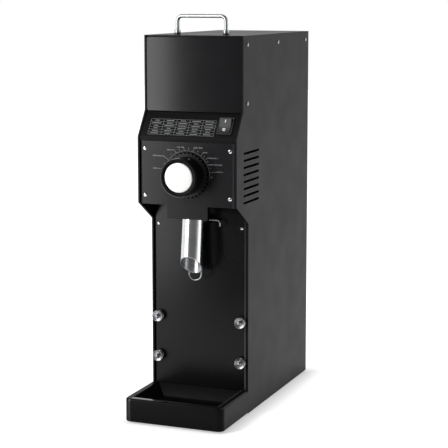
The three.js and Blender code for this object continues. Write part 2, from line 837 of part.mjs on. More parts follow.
// Four turned studs: a base, a neck, a dished flange and a boss with a dimple.
function stud() {
  const flangeBack = -studFlangeStart;
  const flangeFront = flangeBack - studFlangeThickness;
  const profile = [
    [0, -studBossReach + studDimple], [studDimpleRadius, -studBossReach],
    [studBossRadius, -studBossReach], [studBossRadius, flangeFront + studDish],
    [studFlangeRadius, flangeFront], [studFlangeRadius, flangeBack], [studNeckRadius, flangeBack],
    [studNeckRadius, -studBaseThickness], [studBaseRadius, -studBaseThickness],
    [studBaseRadius, 0], [studShankRadius, 0], [studShankRadius, screwShankLength],
    [0, screwShankLength],
  ];
  return turned(profile, smallRound);
}
const studRows = [['upper', studHeights[0]], ['lower', studHeights[1]]];
for (const [level, z] of studRows) {
  for (const [side, sign] of [['left', -1], ['right', 1]]) {
    place(`panel_stud_${level}_${side}`, 'steel', stud())
      .position.set(sign * (halfWidth - studInset), columnFaceY - seatGap, z);
  }
}

// The floor of the head closes it underneath, round the outlet neck.
function headFloor() {
  const plate = block(-innerHalf, innerHalf, dialBackY + seatGap, columnFaceY + foldDepth,
    headFloorBottomZ, headFloorTopZ);
  const hole = rodAlongZ(outletRadius + outletWall + seatGap, headFloorBottomZ - overrun,
    headFloorTopZ + overrun, largeRound, 0, spoutTopY);
  const corners = [-1, 1].map((sign) => block(
    sign * innerHalf - (frontSheet + panelGap), sign * innerHalf + (frontSheet + panelGap),
    dialFaceY - overrun, dialFaceY + foldDepth + panelGap, headFloorBottomZ - overrun,
    headFloorTopZ + overrun));
  return cut(plate, hole, ...corners);
}
place('head_floor', 'black', headFloor());

// The back: a recessed panel with vents behind the motor and the inlet's cut-out.
const inletZ = chassisTopZ + inletRiseAboveChassis;
function rearPanel() {
  const shape = outline([
    [-innerHalf, skirtZ], [innerHalf, skirtZ], [innerHalf, lidBottomZ - panelGap],
    [-innerHalf, lidBottomZ - panelGap],
  ]);
  const topVent = shaftZ + ((rearVentCount - 1) / 2) * rearVentPitch;
  const halfLength = rearVentLength / 2;
  for (let i = 0; i < rearVentCount; i += 1) {
    shape.holes.push(slot(-halfLength, halfLength, topVent - i * rearVentPitch, ventHeight));
  }
  const halfX = inletSocketWidth / 2 + inletBodyWall + seatGap;
  const halfZ = inletSocketHeight / 2 + inletBodyWall + seatGap;
  shape.holes.push(roundedOutline(-halfX, halfX, inletZ - halfZ, inletZ + halfZ, inletCorner, THREE.Path));
  return extrudeY(shape, rearPanelFrontY, rearPanelBackY);
}
place('rear_panel', 'black', rearPanel());

// A mains inlet: a flange outside the panel, a socket and three flat pins, with no lead.
function powerInlet() {
  const halfX = inletSocketWidth / 2;
  const halfZ = inletSocketHeight / 2;
  const faceY = rearPanelBackY + seatGap + inletFlangeThickness;
  const floorY = faceY - inletSocketDepth;
  const flange = extrudeY(roundedOutline(-inletFlangeWidth / 2, inletFlangeWidth / 2,
    inletZ - inletFlangeHeight / 2, inletZ + inletFlangeHeight / 2, inletCorner),
  rearPanelBackY + seatGap, faceY);
  const shell = extrudeY(roundedOutline(-halfX - inletBodyWall, halfX + inletBodyWall,
    inletZ - halfZ - inletBodyWall, inletZ + halfZ + inletBodyWall, inletCorner),
  floorY - inletBodyWall, faceY - inletFlangeThickness / 2);
  const socket = extrudeY(roundedOutline(-halfX, halfX, inletZ - halfZ, inletZ + halfZ,
    inletCorner - inletBodyWall), floorY, faceY + overrun);
  const screws = [-1, 1].map((sign) => rodAlongY(screwShankRadius, rearPanelBackY - overrun,
    faceY + overrun, smallRound, (sign * inletScrewSpacing) / 2, inletZ));
  const pins = [-1, 0, 1].map((column) => {
    const x = column * inletPinSpacing;
    const z = inletZ + (column === 0 ? inletPinStagger : -inletPinStagger) / 2;
    return block(x - inletPinWidth / 2, x + inletPinWidth / 2, floorY - inletBodyWall / 2,
      floorY + inletPinLength, z - inletPinHeight / 2, z + inletPinHeight / 2);
  });
  return join(cut(join(flange, shell), socket, ...screws), ...pins);
}
place('power_inlet', 'plastic', powerInlet());

// The top: a fixed cover behind and a lid in front, on a hinge whose barrel lies flush.
const hingeHalf = innerHalf - hingeEndRoom;
const knuckleLength = (2 * hingeHalf) / hingeKnuckles;
function knuckles(odd) {
  const pieces = [];
  for (let i = odd ? 1 : 0; i < hingeKnuckles; i += 2) {
    const x0 = -hingeHalf + i * knuckleLength + seatGap / 2;
    const x1 = x0 + knuckleLength - seatGap;
    const reach = hingeRadius + lidHingeRoom + hingeLeafHalf;
    pieces.push(rodAlongX(hingeRadius, x0, x1, mediumRound, hingeY, hingeZ));
    pieces.push(block(x0, x1, odd ? hingeY - reach : hingeY, odd ? hingeY : hingeY + reach,
      hingeZ - hingeLeafHalf, hingeZ + hingeLeafHalf));
  }
  return pieces;
}
function hingeBore() {
  return rodAlongX(hingePinRadius + hingeBoreClearance, -hingeHalf - overrun, hingeHalf + overrun,
    smallRound, hingeY, hingeZ);
}
function topCover() {
  const plate = block(-innerHalf, innerHalf, hingeY + hingeRadius + lidHingeRoom, rearY, lidBottomZ, topZ);
  return cut(join(plate, ...knuckles(false)), hingeBore());
}
place('top_cover', 'black', topCover());

const lidFrontY = hopperFaceY;
function lid() {
  const plate = block(-innerHalf, innerHalf, lidFrontY, hingeY - hingeRadius - lidHingeRoom,
    lidBottomZ, topZ);
  return cut(join(plate, ...knuckles(true)), hingeBore());
}
place('hopper_lid', 'black', lid());
place('lid_hinge_pin', 'steel', rodAlongX(hingePinRadius, -hingeHalf, hingeHalf, smallRound,
  hingeY, hingeZ));

function lidHandle() {
  const y = hopperEdgeY + handleSetback;
  const half = handleSpan / 2;
  const footZ = topZ + seatGap;
  const gripZ = topZ + handleRise;
  const bar = bentRod([
    [-half, y, footZ], [-half, y, gripZ], [half, y, gripZ], [half, y, footZ],
  ], handleRodRadius, handleBendRadius, smallRound);
  const collars = [-half, half].map((x) => rodAlongZ(handleCollarRadius, footZ,
    footZ + handleCollarHeight, mediumRound, x, y));
  return join(bar, ...collars);
}
place('lid_handle', 'steel', lidHandle());

// The hopper inside: a sheet funnel that narrows to the burr head's inlet.
function funnelSections(grow, neckZ, rimZ) {
  const edge = funnelSheet - grow;
  const neckInset = inletWall + seatGap + edge;
  const neckHalf = feedRadius - neckInset;
  const neck = rectanglePoints(-neckHalf, neckHalf, inletFrontY + neckInset, inletRearY - neckInset);
  const wall = rectanglePoints(-innerHalf + edge, innerHalf - edge, funnelFrontY + edge,
    funnelRearY - edge);
  return [
    { points: neck, z: neckZ }, { points: neck, z: inletTopZ + funnelNeck },
    { points: wall, z: motorTopZ + funnelShoulderRise }, { points: wall, z: rimZ },
  ];
}
function funnel() {
  const neckZ = inletTopZ - funnelNeckDip;
  const outer = loft(funnelSections(funnelSheet, neckZ, funnelTopZ));
  const inner = loft(funnelSections(0, neckZ - overrun, funnelTopZ + overrun));
  return cut(outer, inner);
}
place('hopper_funnel', 'zinc', funnel());

// The burr head, cast in one: a burr chamber, a feed barrel, an inlet and an outlet neck.
function grinderHousing() {
  const chamber = rodAlongY(chamberOuter, chamberFrontY, feedFrontY, largeRound, 0, shaftZ);
  const barrel = rodAlongY(feedOuter, partitionY, housingRearY, largeRound, 0, shaftZ);
  const neckHalf = feedRadius;
  const inletNeck = block(-neckHalf, neckHalf, inletFrontY, inletRearY, shaftZ, inletTopZ);
  const outletBottomZ = spoutTopZ - outletReach;
  const outletNeck = rodAlongZ(outletRadius + outletWall, outletBottomZ, shaftZ, largeRound, 0, outletY);
  const chamberBore = rodAlongY(chamberInner, chamberFrontY - overrun, partitionY, largeRound, 0, shaftZ);
  const feedBore = rodAlongY(feedRadius, partitionY - overrun, feedRearY, largeRound, 0, shaftZ);
  const sealBore = rodAlongY(shaftRadius + seatGap, feedRearY - overrun, housingRearY + overrun,
    mediumRound, 0, shaftZ);
  const inletBore = block(-neckHalf + inletWall, neckHalf - inletWall, inletFrontY + inletWall,
    inletRearY - inletWall, shaftZ, inletTopZ + overrun);
  const outletBore = rodAlongZ(outletRadius, outletBottomZ - overrun, shaftZ, largeRound, 0, outletY);
  return cut(join(chamber, barrel, inletNeck, outletNeck), chamberBore, feedBore, sealBore,
    inletBore, outletBore);
}
place('grinder_housing', 'cast', grinderHousing());

function atShaft(name, finish, geometry) {
  const mesh = place(name, finish, geometry);
  mesh.position.z = shaftZ;
  return mesh;
}
atShaft('chamber_cover', 'cast', ring(bushRadius + seatGap, chamberOuter, coverFrontY,
  coverFrontY + coverThickness, largeRound));

// Burr teeth: square bars laid corner down, tangent to a small circle, cut each V in the face.
function toothCutters(count, bite, start, faceY, tilt) {
  const length = burrRadius + overrun - start;
  return repeatAround(count, (angle) => new THREE.BoxGeometry(length, bite, bite)
    .rotateX(Math.PI / 4).rotateZ(tilt)
    .translate(start + length / 2, faceY, toothOffset).rotateY(angle));
}
function burr(bore, faceY, backY, sign) {
  const disc = ring(bore, burrRadius, Math.min(faceY, backY), Math.max(faceY, backY), largeRound);
  const tilt = sign * Math.atan2(toothBite / 2, burrRadius - bore);
  return cut(disc, ...toothCutters(toothCount, toothBite, bore - toothOffset, faceY, tilt),
    ...toothCutters(fineToothCount, fineToothBite, fineToothStart, faceY, 0));
}
atShaft('fixed_burr', 'zinc', burr(burrBore, fixedBurrFaceY, partitionY - seatGap, -1));
const movingBurrBore = carrierHubRadius + seatGap;

// The dial's threaded bush, held in the chamber cover and the dial plate.
atShaft('dial_bush', 'brass', ring(spindleRadius + seatGap, bushRadius, dialFaceY - bushFront,
  coverFrontY + coverThickness + bushBack, mediumRound));

// The motor: two bells with bearing cups, a shell, a slotted stator and ball bearings.
function bell(openTowards) {
  const inner = openTowards > 0;
  const web0 = inner ? 0 : bellThickness - bellWeb;
  const disc = rodAlongY(motorRadius, web0, web0 + bellWeb, largeRound);
  const rim = ring(motorRadius - motorWall, motorRadius, 0, bellThickness, largeRound);
  const cupRadius = bearingRadius + seatGap + bellCupWall;
  const cup = rodAlongY(cupRadius, 0, bellThickness, mediumRound);
  const seatStart = inner ? bellWeb : 0;
  const bearingSeat = rodAlongY(bearingRadius + seatGap, seatStart - (inner ? 0 : overrun),
    seatStart + bellThickness - bellWeb + (inner ? overrun : 0), mediumRound);
  const shaftHole = rodAlongY(shaftRadius + seatGap, -overrun, bellThickness + overrun, mediumRound);
  const windowCircle = (cupRadius + motorRadius - motorWall) / 2;
  const windows = repeatAround(bellWindows, (angle) => rodAlongY(bellWindowRadius, web0 - overrun,
    web0 + bellWeb + overrun, boltRound, windowCircle * Math.cos(angle), windowCircle * Math.sin(angle)));
  return cut(join(disc, rim, cup), bearingSeat, shaftHole, ...windows);
}
function bearing() {
  const inner = shaftRadius + seatGap;
  const half = bearingWidth / 2;
  const floor = half - bearingSealDepth;
  const sealInner = (inner + bearingRadius) / 2 - bearingSealHalf;
  const sealOuter = (inner + bearingRadius) / 2 + bearingSealHalf;
  return turned([
    [inner, -half], [sealInner, -half], [sealInner, -floor], [sealOuter, -floor],
    [sealOuter, -half], [bearingRadius, -half], [bearingRadius, half], [inner, half],
    [inner, -half],
  ], mediumRound);
}
function onShaft(name, finish, geometry, y) {
  const mesh = atShaft(name, finish, geometry);
  mesh.position.y = y;
  return mesh;
}
onShaft('motor_front_bell', 'cast', bell(1), motorFrontY);
onShaft('motor_rear_bell', 'cast', bell(-1), motorRearY - bellThickness);
onShaft('front_bearing', 'steel', bearing(), motorFrontY + bellWeb + seatGap + bearingWidth / 2);
onShaft('rear_bearing', 'steel', bearing(), motorRearY - bellWeb - seatGap - bearingWidth / 2);
atShaft('motor_shell', 'zinc', ring(motorRadius - motorWall, motorRadius, shellFrontY, shellRearY,
  largeRound));

const statorFrontY = shellFrontY + statorEndRoom;
const statorRearY = shellRearY - statorEndRoom;
function stator() {
  const core = ring(statorBore, motorRadius - motorWall - seatGap, statorFrontY, statorRearY, largeRound);
  const slotCircle = statorBore + statorSlotRadius / 2;
  const slots = repeatAround(statorSlots, (angle) => rodAlongY(statorSlotRadius, statorFrontY - overrun,
    statorRearY + overrun, boltRound, slotCircle * Math.cos(angle), slotCircle * Math.sin(angle)));
  return cut(core, ...slots);
}
atShaft('stator_core', 'zinc', stator());

// The shelf carries the motor on two saddles, between the side panels.
function motorCradle() {
  const shelfFrontY = motorFrontY + shelfFrontRoom;
  const section = bentSheet([
    [innerHalf, shelfTopZ - shelfFlange], [innerHalf, shelfTopZ], [-innerHalf, shelfTopZ],
    [-innerHalf, shelfTopZ - shelfFlange],
  ], shelfThickness);
  const shelf = extrudeY(section, shelfFrontY, motorRearY);
  const wrap = motorRadius * cradleWrapShare;
  const ribs = [shellFrontY + cradleInset, shellRearY - cradleInset - cradleRib].map((y) => block(
    -cradleWidth / 2, cradleWidth / 2, y, y + cradleRib, shelfTopZ - shelfThickness / 2, shelfTopZ + wrap));
  const saddle = rodAlongY(motorRadius + seatGap, shellFrontY - bellThickness - overrun,
    motorRearY + overrun, largeRound, 0, shaftZ);
  return cut(join(shelf, ...ribs), saddle);
}
place('motor_cradle', 'zinc', motorCradle());

// The run capacitor stands on the chassis, and the control box hangs on the rear panel.
const electricsRearY = rearPanelFrontY - seatGap;
function capacitor() {
  const top = chassisTopZ + seatGap + capacitorLength;
  const bottom = chassisTopZ + seatGap;
  const can = turned([
    [0, bottom], [capacitorRadius, bottom], [capacitorRadius, top - capacitorCrimp * 2],
    [capacitorRadius - capacitorCrimp, top - capacitorCrimp], [capacitorRadius, top], [0, top],
  ], mediumRound).rotateX(Math.PI / 2);
  const tabs = [-1, 1].map((sign) => rodAlongZ(terminalRadius, top - terminalLength,
    top + terminalLength, smallRound, sign * terminalRadius * 3));
  return join(can, ...tabs);
}
const capacitorMesh = place('run_capacitor', 'zinc', capacitor());
capacitorMesh.position.y = columnFaceY + foldDepth + capacitorRadius + capacitorRoom;

function controlBox() {
  const z0 = chassisTopZ + controlBoxRise;
  const shape = roundedOutline(-controlBoxWidth / 2, controlBoxWidth / 2, z0, z0 + controlBoxHeight,
    controlBoxEdge);
  const shell = extrudeY(shape, electricsRearY - controlBoxDepth, electricsRearY);
  const hollow = block(-controlBoxWidth / 2 + controlBoxWall, controlBoxWidth / 2 - controlBoxWall,
    electricsRearY - controlBoxDepth + controlBoxWall, electricsRearY - controlBoxWall,
    z0 + controlBoxWall, z0 + controlBoxHeight - controlBoxWall);
  const cableEntry = rodAlongZ(terminalRadius * 2, z0 - overrun, z0 + overrun, smallRound, 0,
    electricsRearY - controlBoxDepth / 2);
  return cut(shell, hollow, cableEntry);
}
place('control_box', 'plastic', controlBox());

// The spout: a steel tube that leans forward, cut slantwise so that its mouth faces the front.
function spout() {
  const lean = (geometry) => geometry.rotateX(-spoutLean).translate(0, spoutTopY, spoutTopZ);
  const length = spoutDrop + spoutRadius * 2;
  const tube = lean(rodAlongZ(spoutRadius, -length, overrun, largeRound));
  const bore = lean(rodAlongZ(spoutRadius - spoutWall, -length - overrun, overrun * 2, largeRound));
  const flange = rodAlongZ(spoutFlangeRadius, spoutTopZ - spoutFlangeThickness, spoutTopZ, largeRound,
    0, spoutTopY);
  const aboveTop = block(-spoutRadius * 2, spoutRadius * 2, spoutTopY - spoutRadius * 2,
    spoutTopY + spoutRadius * 2, spoutTopZ, spoutTopZ + overrun * 3);
  const mouthY = spoutTopY - spoutDrop * Math.tan(spoutLean);
  const span = spoutRadius * 4;
  const belowMouth = block(-span, span, -span, span, -span, 0).rotateX(-spoutMouthAngle)
    .translate(0, mouthY, spoutTopZ - spoutDrop);
  return cut(join(tube, flange), bore, aboveTop, belowMouth);
}
place('spout_tube', 'steel', spout());

// The bag clamp: one bent wire that swings in two ears behind the spout. Its legs spread a
// little on the way down to a round loop.
const clampY = columnFaceY - clampPanelRoom;
const clampZ = spoutTopZ - clampDrop;
function clampBracket() {
  const backY = columnFaceY - seatGap;
  const plateHalf = clampEarInside + clampEarThickness;
  const plate = block(-plateHalf, plateHalf, backY - clampPlateSheet, backY,
    clampZ - clampEarHeight / 2, clampZ + clampEarHeight / 2);
  const ears = [-1, 1].map((sign) => {
    const x0 = sign > 0 ? clampEarInside : -plateHalf;
    return join(
      block(x0, x0 + clampEarThickness, clampY, backY, clampZ - clampEarHeight / 2,
        clampZ + clampEarHeight / 2),
      rodAlongX(clampEarHeight / 2, x0, x0 + clampEarThickness, mediumRound, clampY, clampZ),
    );
  });
  const bore = rodAlongX(clampRodRadius + clampBoreClearance, -plateHalf - overrun,
    plateHalf + overrun, smallRound, clampY, clampZ);
  return cut(join(plate, ...ears), bore);
}
place('clamp_bracket', 'steel', clampBracket());

function clampWire() {
  const leg = clampLegSpacing / 2;
  const loopY = clampY - clampLean;
  const bottomZ = clampZ - clampLength;
  const cornerX = clampLoopRadius * loopCornerShare;
  const cornerZ = bottomZ + clampLoopRadius - cornerX;
  return bentRod([
    [-clampEndReach, clampY, clampZ], [-leg, clampY, clampZ],
    [-clampLoopRadius, loopY, cornerZ], [-cornerX, loopY, bottomZ],
    [cornerX, loopY, bottomZ], [clampLoopRadius, loopY, cornerZ],
    [leg, clampY, clampZ], [clampLeverReach, clampY, clampZ],
    [clampLeverReach, clampY, clampZ - clampLeverDrop],
  ], clampRodRadius, clampBendRadius, boltRound);
}
place('bag_clamp_wire', 'steel', clampWire());

// The rocker switch: a framed body in the fascia and a key that rocks on a pin line.
function switchBody() {
  const outerX = switchWidth / 2;
  const outerZ = switchLength / 2;
  const faceY = -switchFrameHeight - seatGap;
  const frame = extrudeY(roundedOutline(-outerX, outerX, -outerZ, outerZ, switchCorner), faceY, -seatGap);
  const bodyX = outerX - switchCutInset - seatGap;
  const bodyZ = outerZ - switchCutInset - seatGap;
  const body = block(-bodyX, bodyX, -seatGap * 2, switchBodyDepth, -bodyZ, bodyZ);
  const wellX = keyWidth / 2 + keyClearance;
  const wellZ = keyLength / 2 + keyClearance;
  const well = block(-wellX, wellX, faceY - overrun, switchBodyDepth - switchFrameWall, -wellZ, wellZ);
  return cut(join(frame, body), well);
}
place('switch_body', 'plastic', layInFascia(switchBody()));

function rockerKey() {
  const half = keyLength / 2;
  const key = extrudeX(outline([
    [-keyEndRise, -half], [keyThickness - keyEndRise, -half + keyRootInset / 2],
    [keyThickness, -keyRootInset], [keyThickness, keyRootInset],
    [keyThickness - keyEndRise, half - keyRootInset / 2], [-keyEndRise, half], [-keyMiddleRise, 0],
  ].reverse()), -keyWidth / 2, keyWidth / 2);
  return key.rotateX(keyTilt);
}
place('rocker_key', 'grey', layInFascia(rockerKey()));

// The dial: a notched ring, a knob with a white cap, and a spindle in the bush.
const dial = new THREE.Group();
dial.position.z = shaftZ;
grinder.add(dial);

function notchedRing() {
  const pitch = (Math.PI * 2) / notchCount;
  const shape = outline(repeatAround(notchCount, (angle) => [
    [dialRingRadius, angle - (pitch * notchMouthShare) / 2],
    [dialRingRadius - notchDepth, angle - (pitch * notchFloorShare) / 2],
    [dialRingRadius - notchDepth, angle + (pitch * notchFloorShare) / 2],
    [dialRingRadius, angle + (pitch * notchMouthShare) / 2],
  ].map(([radius, turn]) => [radius * Math.cos(turn), radius * Math.sin(turn)])).flat());
  const boreRadius = bushRadius + seatGap * 2;
  const bore = repeatAround(mediumRound, (angle) => new THREE.Vector2(
    boreRadius * Math.cos(angle), boreRadius * Math.sin(angle)));
  shape.holes.push(new THREE.Path(bore));
  return extrudeY(shape, knobBackY + seatGap, knobBackY + dialRingThickness);
}
place('dial_ring', 'plastic', notchedRing(), dial);

const capSeatY = knobFrontY + capThickness;
const spindleFrontY = dialFaceY - spindleReach;
function knob() {
  const groove = (y) => [
    [knobBaseRadius, y - knobGrooveWidth / 2], [knobBaseRadius - knobGrooveDepth, y],
    [knobBaseRadius, y + knobGrooveWidth / 2],
  ];
  const counterbore = dialFaceY - bushFront - seatGap;
  return turned([
    [0, capSeatY], [capRadius + seatGap, capSeatY], [capRadius + seatGap, knobFrontY],
    [knobRadius - knobEdge, knobFrontY], [knobRadius, knobFrontY + knobEdge],
    ...groove(knobBackY - knobGrooveSpacing),
    [knobBaseRadius, knobBackY], [bushRadius + seatGap * 2, knobBackY],
    [bushRadius + seatGap * 2, counterbore], [spindleRadius + seatGap, counterbore],
    [spindleRadius + seatGap, spindleFrontY - seatGap], [0, spindleFrontY - seatGap],
  ], largeRound);
}
place('dial_knob', 'plastic', knob(), dial);
place('knob_cap', 'white', turned([
  [0, knobFrontY - capCrown], [capRadius * crownRadiusShare, knobFrontY - capCrown * crownHeightShare],
  [capRadius - capEdge, knobFrontY], [capRadius, knobFrontY + capEdge],
  [capRadius, capSeatY - seatGap], [0, capSeatY - seatGap],
], largeRound), dial);
place('dial_spindle', 'steel', rodAlongY(spindleRadius, spindleFrontY, spindleBackY, mediumRound), dial);

// The thrust cup, pushed along the shaft line by the spindle, and the rotor behind it.
place('thrust_cup', 'brass', turned([
  [0, cupFrontY], [thrustCupRadius, cupFrontY], [thrustCupRadius, cupBackY],
  [thrustCupRadius / 2, cupBackY], [0, cupBackY - thrustCupDish],
], mediumRound), dial);

const rotor = new THREE.Group();
rotor.position.z = shaftZ;
grinder.add(rotor);

const shaftRearY = motorRearY - bellWeb / 2;
place('main_shaft', 'steel', rodAlongY(shaftRadius, shaftFrontY, shaftRearY, mediumRound), rotor);

function burrCarrier() {
  const disc = rodAlongY(carrierRadius, carrierFrontY, carrierBackY, largeRound);
  const hub = rodAlongY(carrierHubRadius, shaftFrontY, movingBurrFaceY, largeRound);
  const wipers = repeatAround(wiperCount, (angle) => block(carrierRadius / 2, carrierRadius,
    carrierFrontY - wiperReach, carrierFrontY + overrun / 2, -wiperWidth / 2, wiperWidth / 2)
    .rotateY(angle));
  const bore = rodAlongY(shaftRadius + seatGap, shaftFrontY - overrun, movingBurrFaceY + overrun,
    mediumRound);
  return cut(join(disc, hub, ...wipers), bore);
}
place('burr_carrier', 'cast', burrCarrier(), rotor);
place('moving_burr', 'zinc', burr(movingBurrBore, movingBurrFaceY, movingBurrBackY, 1), rotor);

// One helical flight on a root tube, ending clear of the partition and the seal wall.
function auger() {
  const length = augerPitch * augerTurns;
  const startY = feedFrontY + (feedLength - length) / 2;
  const steps = Math.round(augerTurns * augerStepsPerTurn);
  const inner = (augerRootRadius + shaftRadius) / 2;
  const positions = [];
  const index = [];
  for (let i = 0; i <= steps; i += 1) {
    const angle = -(i / augerStepsPerTurn) * Math.PI * 2;
    const y = startY + (i / steps) * length;
    for (const [radius, side] of [[inner, -1], [augerRadius, -1], [augerRadius, 1], [inner, 1]]) {
      positions.push(radius * Math.cos(angle), y + (side * augerThickness) / 2, radius * Math.sin(angle));
    }
  }
  for (let i = 0; i < steps; i += 1) {
    for (let side = 0; side < 4; side += 1) {
      const a = i * 4 + side;
      const b = i * 4 + ((side + 1) % 4);
      index.push(a, a + 4, b, b, a + 4, b + 4);
    }
  }
  const last = steps * 4;
  index.push(0, 1, 2, 0, 2, 3, last, last + 2, last + 1, last, last + 3, last + 2);
  const flight = new THREE.BufferGeometry();
  flight.setAttribute('position', new THREE.Float32BufferAttribute(positions, 3));
  flight.setIndex(index);
  const root = rodAlongY(augerRootRadius, startY - augerThickness, startY + length + augerThickness,
    mediumRound);
  const bore = rodAlongY(shaftRadius + seatGap, startY - length, startY + length * 2, mediumRound);
  return cut(join(root, flight), bore);
}
place('feed_auger', 'cast', auger(), rotor);

function rotorCore() {
  const core = ring(shaftRadius + seatGap, statorBore - rotorGap, statorFrontY, statorRearY, largeRound);
  const barCircle = statorBore - rotorGap - rotorBarRadius / 2;
  const bars = repeatAround(rotorBarCount, (angle) => rodAlongY(rotorBarRadius, statorFrontY - overrun,
    statorRearY + overrun, notchRound, barCircle * Math.cos(angle), barCircle * Math.sin(angle)));
  return cut(core, ...bars);
}
place('rotor_core', 'zinc', rotorCore(), rotor);

function fan() {
  const y0 = shellRearY - statorEndRoom / 2;
  const hub = rodAlongY(fanHubRadius, y0, y0 + fanLength, mediumRound);
  const blades = repeatAround(fanBlades, (angle) => block(fanHubRadius / 2, fanRadius, y0,
    y0 + fanLength, -fanBladeThickness / 2, fanBladeThickness / 2).rotateY(angle));
  const bore = rodAlongY(shaftRadius + seatGap, y0 - overrun, y0 + fanLength + overrun, mediumRound);
  return cut(join(hub, ...blades), bore);
}
place('cooling_fan', 'plastic', fan(), rotor);

export default grinder;
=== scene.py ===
import json
import math
from collections import namedtuple

import bmesh
import bpy
from mathutils import Matrix, Vector
from mathutils.geometry import tessellate_polygon

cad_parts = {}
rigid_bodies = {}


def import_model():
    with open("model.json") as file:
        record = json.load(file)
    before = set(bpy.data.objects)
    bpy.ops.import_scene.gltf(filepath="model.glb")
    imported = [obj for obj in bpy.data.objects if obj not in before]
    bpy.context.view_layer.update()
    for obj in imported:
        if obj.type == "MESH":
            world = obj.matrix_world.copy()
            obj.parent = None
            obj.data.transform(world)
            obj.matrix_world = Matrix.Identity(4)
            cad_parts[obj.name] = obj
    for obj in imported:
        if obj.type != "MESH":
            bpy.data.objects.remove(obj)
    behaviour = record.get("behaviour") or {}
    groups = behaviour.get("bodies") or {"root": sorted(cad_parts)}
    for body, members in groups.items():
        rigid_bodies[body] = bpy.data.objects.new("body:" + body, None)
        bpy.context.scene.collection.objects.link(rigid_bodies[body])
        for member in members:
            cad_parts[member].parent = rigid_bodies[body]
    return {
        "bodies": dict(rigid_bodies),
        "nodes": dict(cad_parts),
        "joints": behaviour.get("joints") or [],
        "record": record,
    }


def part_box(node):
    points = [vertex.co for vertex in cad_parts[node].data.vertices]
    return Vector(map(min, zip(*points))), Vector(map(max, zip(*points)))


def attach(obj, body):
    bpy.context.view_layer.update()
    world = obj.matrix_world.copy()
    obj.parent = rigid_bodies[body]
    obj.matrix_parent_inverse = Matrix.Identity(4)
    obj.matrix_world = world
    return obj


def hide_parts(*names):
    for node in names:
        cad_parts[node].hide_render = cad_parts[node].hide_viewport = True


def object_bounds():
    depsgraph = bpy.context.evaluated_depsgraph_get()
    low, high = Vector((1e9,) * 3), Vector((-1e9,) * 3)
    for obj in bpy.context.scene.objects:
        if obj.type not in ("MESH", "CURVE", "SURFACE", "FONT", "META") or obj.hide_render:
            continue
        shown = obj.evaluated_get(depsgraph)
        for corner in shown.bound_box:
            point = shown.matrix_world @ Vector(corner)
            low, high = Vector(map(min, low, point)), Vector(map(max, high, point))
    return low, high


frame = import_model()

cad_box = [list(corner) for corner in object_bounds()]

# Camera: it stands to the right of the machine and a little above its middle, and looks slightly
# down through a long lens. The picture is square, with the optical axis above its middle.
scene = bpy.context.scene
scene.view_settings.view_transform = "Standard"
look_down, turn_left, picture_rows, rows_above_middle = 8.245, 21.76, 448, 24
camera_data = bpy.data.cameras.new("camera")
camera_data.sensor_width = 36
camera_data.lens = 114.87
camera_data.shift_y = -rows_above_middle / picture_rows
camera = bpy.data.objects.new("camera", camera_data)
camera.location = (0.9493, -2.3615, 0.7311)
camera.rotation_euler = (math.radians(90 - look_down), 0, math.radians(turn_left))
scene.collection.objects.link(camera)
scene.camera = camera


# Studio: a white sweep with three soft boxes. A tall one close at the front left makes the satin
# front fall from light to dark across its width, a wide one at the right gives the side its even
# grey, and one behind lights the top. The room behind the camera and overhead stays unlit.
def srgb(code):
    parts = [int(code[i:i + 2], 16) / 255 for i in (1, 3, 5)]
    return [c / 12.92 if c <= 0.04045 else ((c + 0.055) / 1.055) ** 2.4 for c in parts] + [1]


def add(tree, kind, inputs=None, **settings):
    """A new node with its settings, whose inputs take a node or socket to link, or a plain value."""
    made = tree.nodes.new(kind)
    for key, value in settings.items():
        setattr(made, key, value)
    for key, value in (inputs or {}).items():
        value = value.outputs[0] if isinstance(value, bpy.types.Node) else value
        if isinstance(value, bpy.types.NodeSocket):
            tree.links.new(value, made.inputs[key])
        else:
            made.inputs[key].default_value = value
    return made


def calculate(tree, operation, first, second=0):
    return add(tree, "ShaderNodeMath", {0: first, 1: second}, operation=operation)


def seen_directly(tree):
    """1 where the eye, a reflection or a glass looks, 0 where light is only gathered."""
    rays = add(tree, "ShaderNodeLightPath").outputs
    seen = calculate(tree, "MAXIMUM", rays["Is Camera Ray"], rays["Is Glossy Ray"])
    return calculate(tree, "MAXIMUM", seen, rays["Is Transmission Ray"])


def toward(tree, azimuth, elevation, start, end):
    """0 to 1 as the direction comes from start to end degrees of an aim point in the sky."""
    turn, rise = math.radians(azimuth), math.radians(elevation)
    aim = (math.sin(turn) * math.cos(rise), -math.cos(turn) * math.cos(rise), math.sin(rise))
    way = add(tree, "ShaderNodeTexCoord").outputs["Generated"]
    near = add(tree, "ShaderNodeVectorMath", {0: way, 1: aim}, operation="DOT_PRODUCT").outputs["Value"]
    return add(tree, "ShaderNodeMapRange", {"Value": near, "From Min": math.cos(math.radians(start)),
                                            "From Max": math.cos(math.radians(end))})


white, unlit_level, gathered_level = srgb("#ffffff"), 0.14, 0.3
world = bpy.data.worlds.new("studio")
world.use_nodes = True
sky = world.node_tree
sky.nodes.clear()
unlit = calculate(sky, "MAXIMUM", toward(sky, 16, 0, 84, 44), toward(sky, 0, 90, 66, 46))
mirrored = calculate(sky, "SUBTRACT", 1, add(sky, "ShaderNodeLightPath").outputs["Is Camera Ray"])
dim = calculate(sky, "MULTIPLY", unlit, mirrored)
level = add(sky, "ShaderNodeMapRange", {"Value": dim, "To Min": 1, "To Max": unlit_level})
backdrop = add(sky, "ShaderNodeBackground", {"Color": white, "Strength": level})
room = add(sky, "ShaderNodeBackground", {"Color": white, "Strength": gathered_level})
mixed = add(sky, "ShaderNodeMixShader", {0: seen_directly(sky), 1: room, 2: backdrop})
add(sky, "ShaderNodeOutputWorld", {"Surface": mixed})
scene.world = world

